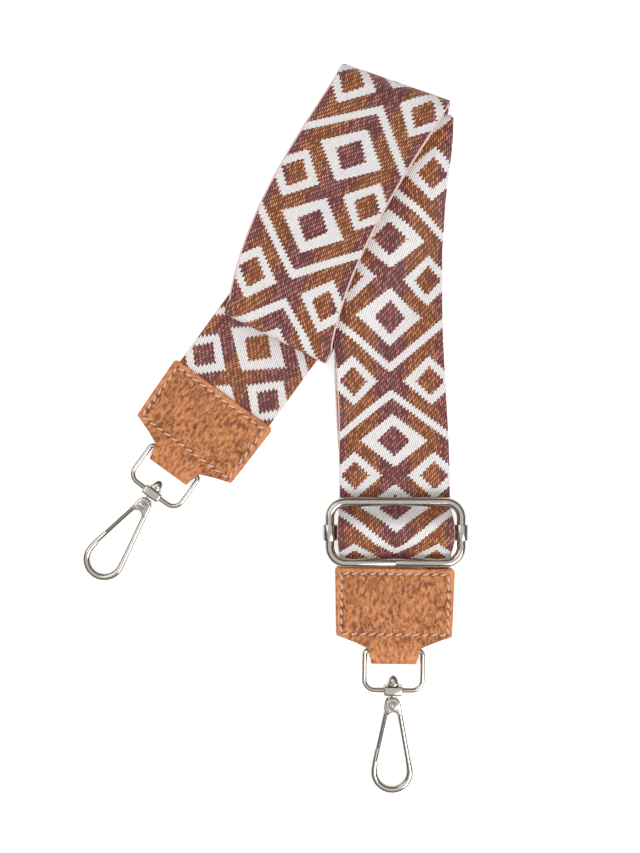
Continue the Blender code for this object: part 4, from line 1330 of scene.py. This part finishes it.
def gate(tag, placing, metal):
    along = gate_direction()
    turn = math.degrees(math.atan2(GATE_ROOT.y, GATE_ROOT.x))
    half = UP.cross(along) * (GATE_WIRE / 2 - CLEAR / 3)
    end = GATE_ROOT + along * EAR_OUTER / 2
    outline = arc((0, 0), GATE_EYE_RADIUS, turn + 60, turn + 300, 36) + [end - half, end + half]
    cuts = []
    for sign in (1, -1):
        cuts.append(("UNION", plate_mesh(outline, EAR_THICK, sign * (EAR_OUTER - EAR_THICK) / 2)))
    cuts += [("DIFFERENCE", lap_cut(-1)), ("DIFFERENCE", rivet_bore(GATE_SLOT * 2))]
    mesh = wire_mesh([GATE_ROOT, GATE_TIP], GATE_WIRE / 2, resolution=10)
    mesh = softened(combined(mesh, cuts), HOOK_SOFT)
    metal_piece(f"hook_gate_{tag}", mesh, placing, metal, f"gate_{tag}", f"gate_{tag}")


def rivet(tag, placing, metal):
    """The rivet, with a spun head that has a ring and a dimple."""
    half = CHEEKS_THICK / 2 + CLEAR / 3
    top = half + RIVET_HEAD_HEIGHT - CLEAR / 6
    profile = [(0, top - 0.22 * MM), (0.55 * MM, top - 0.2 * MM), (0.8 * MM, top), (1.15 * MM, top),
               (1.3 * MM, top - 0.12 * MM), (1.5 * MM, top - 0.02 * MM), (1.75 * MM, top - 0.08 * MM),
               (RIVET_HEAD_RADIUS, half), (RIVET_RADIUS, half - CLEAR / 6)]
    profile += [(r, -z) for r, z in reversed(profile)]
    mesh = turned_mesh(profile)
    mesh.transform(Matrix.Rotation(math.pi / 2, 4, "X"))
    metal_piece(f"gate_rivet_{tag}", mesh, placing, metal, f"hook_body_{tag}", f"rivet_{tag}")


def spring(tag, placing, metal):
    to_arm = GATE_ROOT.normalized()
    start = math.atan2(to_arm.y, to_arm.x) - math.pi / 2
    steps = SPRING_TURNS * 36
    half = SPRING_TURNS * SPRING_PITCH / 2
    coil = []
    for i in range(steps + 1):
        angle = start + math.tau * SPRING_TURNS * i / steps
        coil.append(Vector((SPRING_RADIUS * math.cos(angle), SPRING_RADIUS * math.sin(angle),
                            half * (2 * i / steps - 1))))
    first_leg = coil[0] + to_arm * SPRING_LEG
    tangent = (coil[-1] - coil[-2]).normalized()
    last_leg = coil[-1] + Vector((tangent.x, tangent.y, 0)) * SPRING_END
    mesh = wire_mesh([first_leg] + coil + [last_leg], SPRING_WIRE / 2, resolution=3)
    metal_piece(f"coil_spring_{tag}", mesh, placing, metal, f"hook_body_{tag}", f"gate_spring_{tag}")


def joining_ring(metal):
    _, near_bar = strap_route()
    heading = (LOWER_HEADING + TAIL_HEADING) / 2
    loop = rounded_loop(LOOP_INNER_WIDTH / 2 + LOOP_WIRE / 2, LOOP_PITCH / 2, -LOOP_PITCH / 2,
                        LOOP_CORNER, LOOP_CORNER, 8)
    middle = near_bar + flat_direction(heading) * (LOOP_PITCH / 2) + SHIFT
    turn = Matrix.Rotation(math.radians(heading + 90), 4, "Z")
    placing = Matrix.Translation((middle.x, middle.y, LOOP_LEVEL)) @ turn
    mesh = wire_mesh(loop, LOOP_WIRE / 2, True)
    metal_piece("wire_joining_ring", mesh, placing, metal, "strap", "joining_ring")


def slider(metal):
    placing = Matrix.Translation(STRAP_START + SHIFT + Vector((0, SLIDER_ABOVE_TAB, SLIDER_LEVEL)))
    half_x = SLIDER_OUTER_WIDTH / 2 - SLIDER_WIRE / 2
    half_y = SLIDER_OUTER_LENGTH / 2 - SLIDER_WIRE / 2
    corner = SLIDER_CORNER - SLIDER_WIRE / 2
    loop = rounded_loop(half_x, half_y, -half_y, corner, corner, 18)
    seam = len(loop) // 2
    ends = [Vector((-BUTT_GAP / 2, -half_y, 0)), Vector((BUTT_GAP / 2, -half_y, 0))]
    route = [ends[0]] + loop[seam:] + loop[:seam] + [ends[1]]
    wire = softened(wire_mesh(route, SLIDER_WIRE / 2 + WIRE_FULLER, resolution=12), FRAME_SOFT)
    metal_piece("wire_slider_frame", wire, placing, metal, "slider_frame", "slider_frame")
    cuts = []
    inner = SLIDER_WIRE / 2 + WIRE_FULLER + CLEAR / 2
    outer = SLIDER_WIRE / 2 + CLEAR + CURL_THICK
    for operation, radius, length in (("UNION", outer, CURL_LENGTH), ("DIFFERENCE", inner, CURL_LENGTH * 2)):
        for x in (half_x, -half_x):
            cuts.append((operation, cylinder_mesh(radius, length, (0, 1, 0), (x, 0, 0))))
    bar = block_mesh((2 * half_x, BAR_WIDTH, BAR_THICK), (0, 0, 0), bevel=BAR_EDGE)
    bar = softened(combined(bar, cuts), BAR_SOFT)
    metal_piece("curled_slider_bar", bar, placing, metal, "slider_bar", "slider_bar")


# Stage, lights and camera

def camera():
    data = bpy.data.cameras.new("camera")
    data.sensor_fit = "VERTICAL"
    data.sensor_height = SENSOR
    data.lens = SENSOR * CAMERA_HEIGHT / VIEW_HEIGHT
    data.clip_start = 0.01
    eye = placed("camera", data)
    eye.location = Vector((SLIDER_PLACE.x, SLIDER_PLACE.y, CAMERA_HEIGHT)) + CAMERA_FROM_SLIDER
    bpy.context.scene.camera = eye


def area_light(name, place, target, size, power):
    data = bpy.data.lights.new(name, "AREA")
    data.shape = "RECTANGLE"
    data.size = data.size_y = size
    data.energy = power
    lamp = placed(name, data)
    lamp.location = place
    lamp.rotation_euler = (Vector(target) - Vector(place)).to_track_quat("-Z", "Y").to_euler()


def floor():
    """A pale floor that the camera and the metal see as white, and that keeps the strap's shadow."""
    work = bmesh.new()
    bmesh.ops.create_grid(work, x_segments=1, y_segments=1, size=3)
    ground = placed("floor", mesh_of(work, "floor"))
    ground.location.z = -FLOOR_BELOW
    s = Shader("floor")
    seen = s.math("MAXIMUM", s.math("MAXIMUM", s.ray("Camera"), s.ray("Glossy")), s.ray("Transmission"))
    s.set(Base_Color=linear(FLOOR_TONE), Roughness=0.9, Specular_IOR_Level=0.1,
          Emission_Color=(1, 1, 1, 1), Emission_Strength=seen * FLOOR_GLOW)
    ground.data.materials.append(s.material)


def world():
    """A pale room; metal sees dark gaps between its lamps and walls, which give it its streaks."""
    surroundings = bpy.data.worlds.new("studio")
    tree = Tree(surroundings)
    height = tree.split(tree.node("TexCoord", "Generated"))[2]
    seen_by_metal = tree.node("ValToRGB", 0, {0: height})
    ramp = seen_by_metal.socket.node.color_ramp
    ramp.interpolation = "EASE"
    for spot, _ in ROOM_LEVELS[1:-1]:
        ramp.elements.new(spot)
    for stop, (_, level) in zip(ramp.elements, ROOM_LEVELS):
        stop.color = (level, level * 0.985, level * 0.96, 1)
    colour = tree.blend(tree.ray("Glossy"), (ROOM_LIGHT, ROOM_LIGHT, ROOM_LIGHT, 1), seen_by_metal)
    tree.put(tree.nodes["Background"], "Color", colour)
    bpy.context.scene.world = surroundings


def end_placing(place, turn):
    return Matrix.Translation(place + SHIFT) @ Matrix.Rotation(math.radians(turn), 4, "Z")


def build():
    noise.seed_set(GRAIN_SEED)
    weave = jacquard()
    hide = pebbled_leather()
    thread = waxed_thread()
    plated = nickel("polished_nickel", NICKEL_TONE, 0.1)
    steel = nickel("rivet_steel", RIVET_TONE, 0.2)
    drawn = nickel("spring_steel", SPRING_TONE, 0.25)

    long_webbing(weave)
    tail_end = short_webbing(weave)
    slider_webbing(weave)
    joining_ring(plated)
    slider(plated)
    tail_end.z = 0
    for tag, place, turn in (("b", STRAP_START, END_B_TURN), ("a", tail_end, TAIL_HEADING - 270)):
        base = end_placing(place, turn)
        ring = base @ Matrix.Translation((0, -RING_BAR_AT, RING_LEVEL)) @ Matrix.Rotation(
            math.radians(RING_DROOP), 4, "X")
        body = ring @ Matrix.Translation((0, -RING_PITCH - RIVET_BELOW_BAR, 0))
        leather_end(tag, base, hide, thread)
        hook_ring(tag, ring, plated)
        hook_body(tag, body, plated)
        gate(tag, body, plated)
        rivet(tag, body, steel)
        spring(tag, body, drawn)
    floor()
    world()
    for light in LIGHTS:
        area_light(*light)
    camera()
    bpy.context.scene.view_settings.view_transform = "Standard"


build()
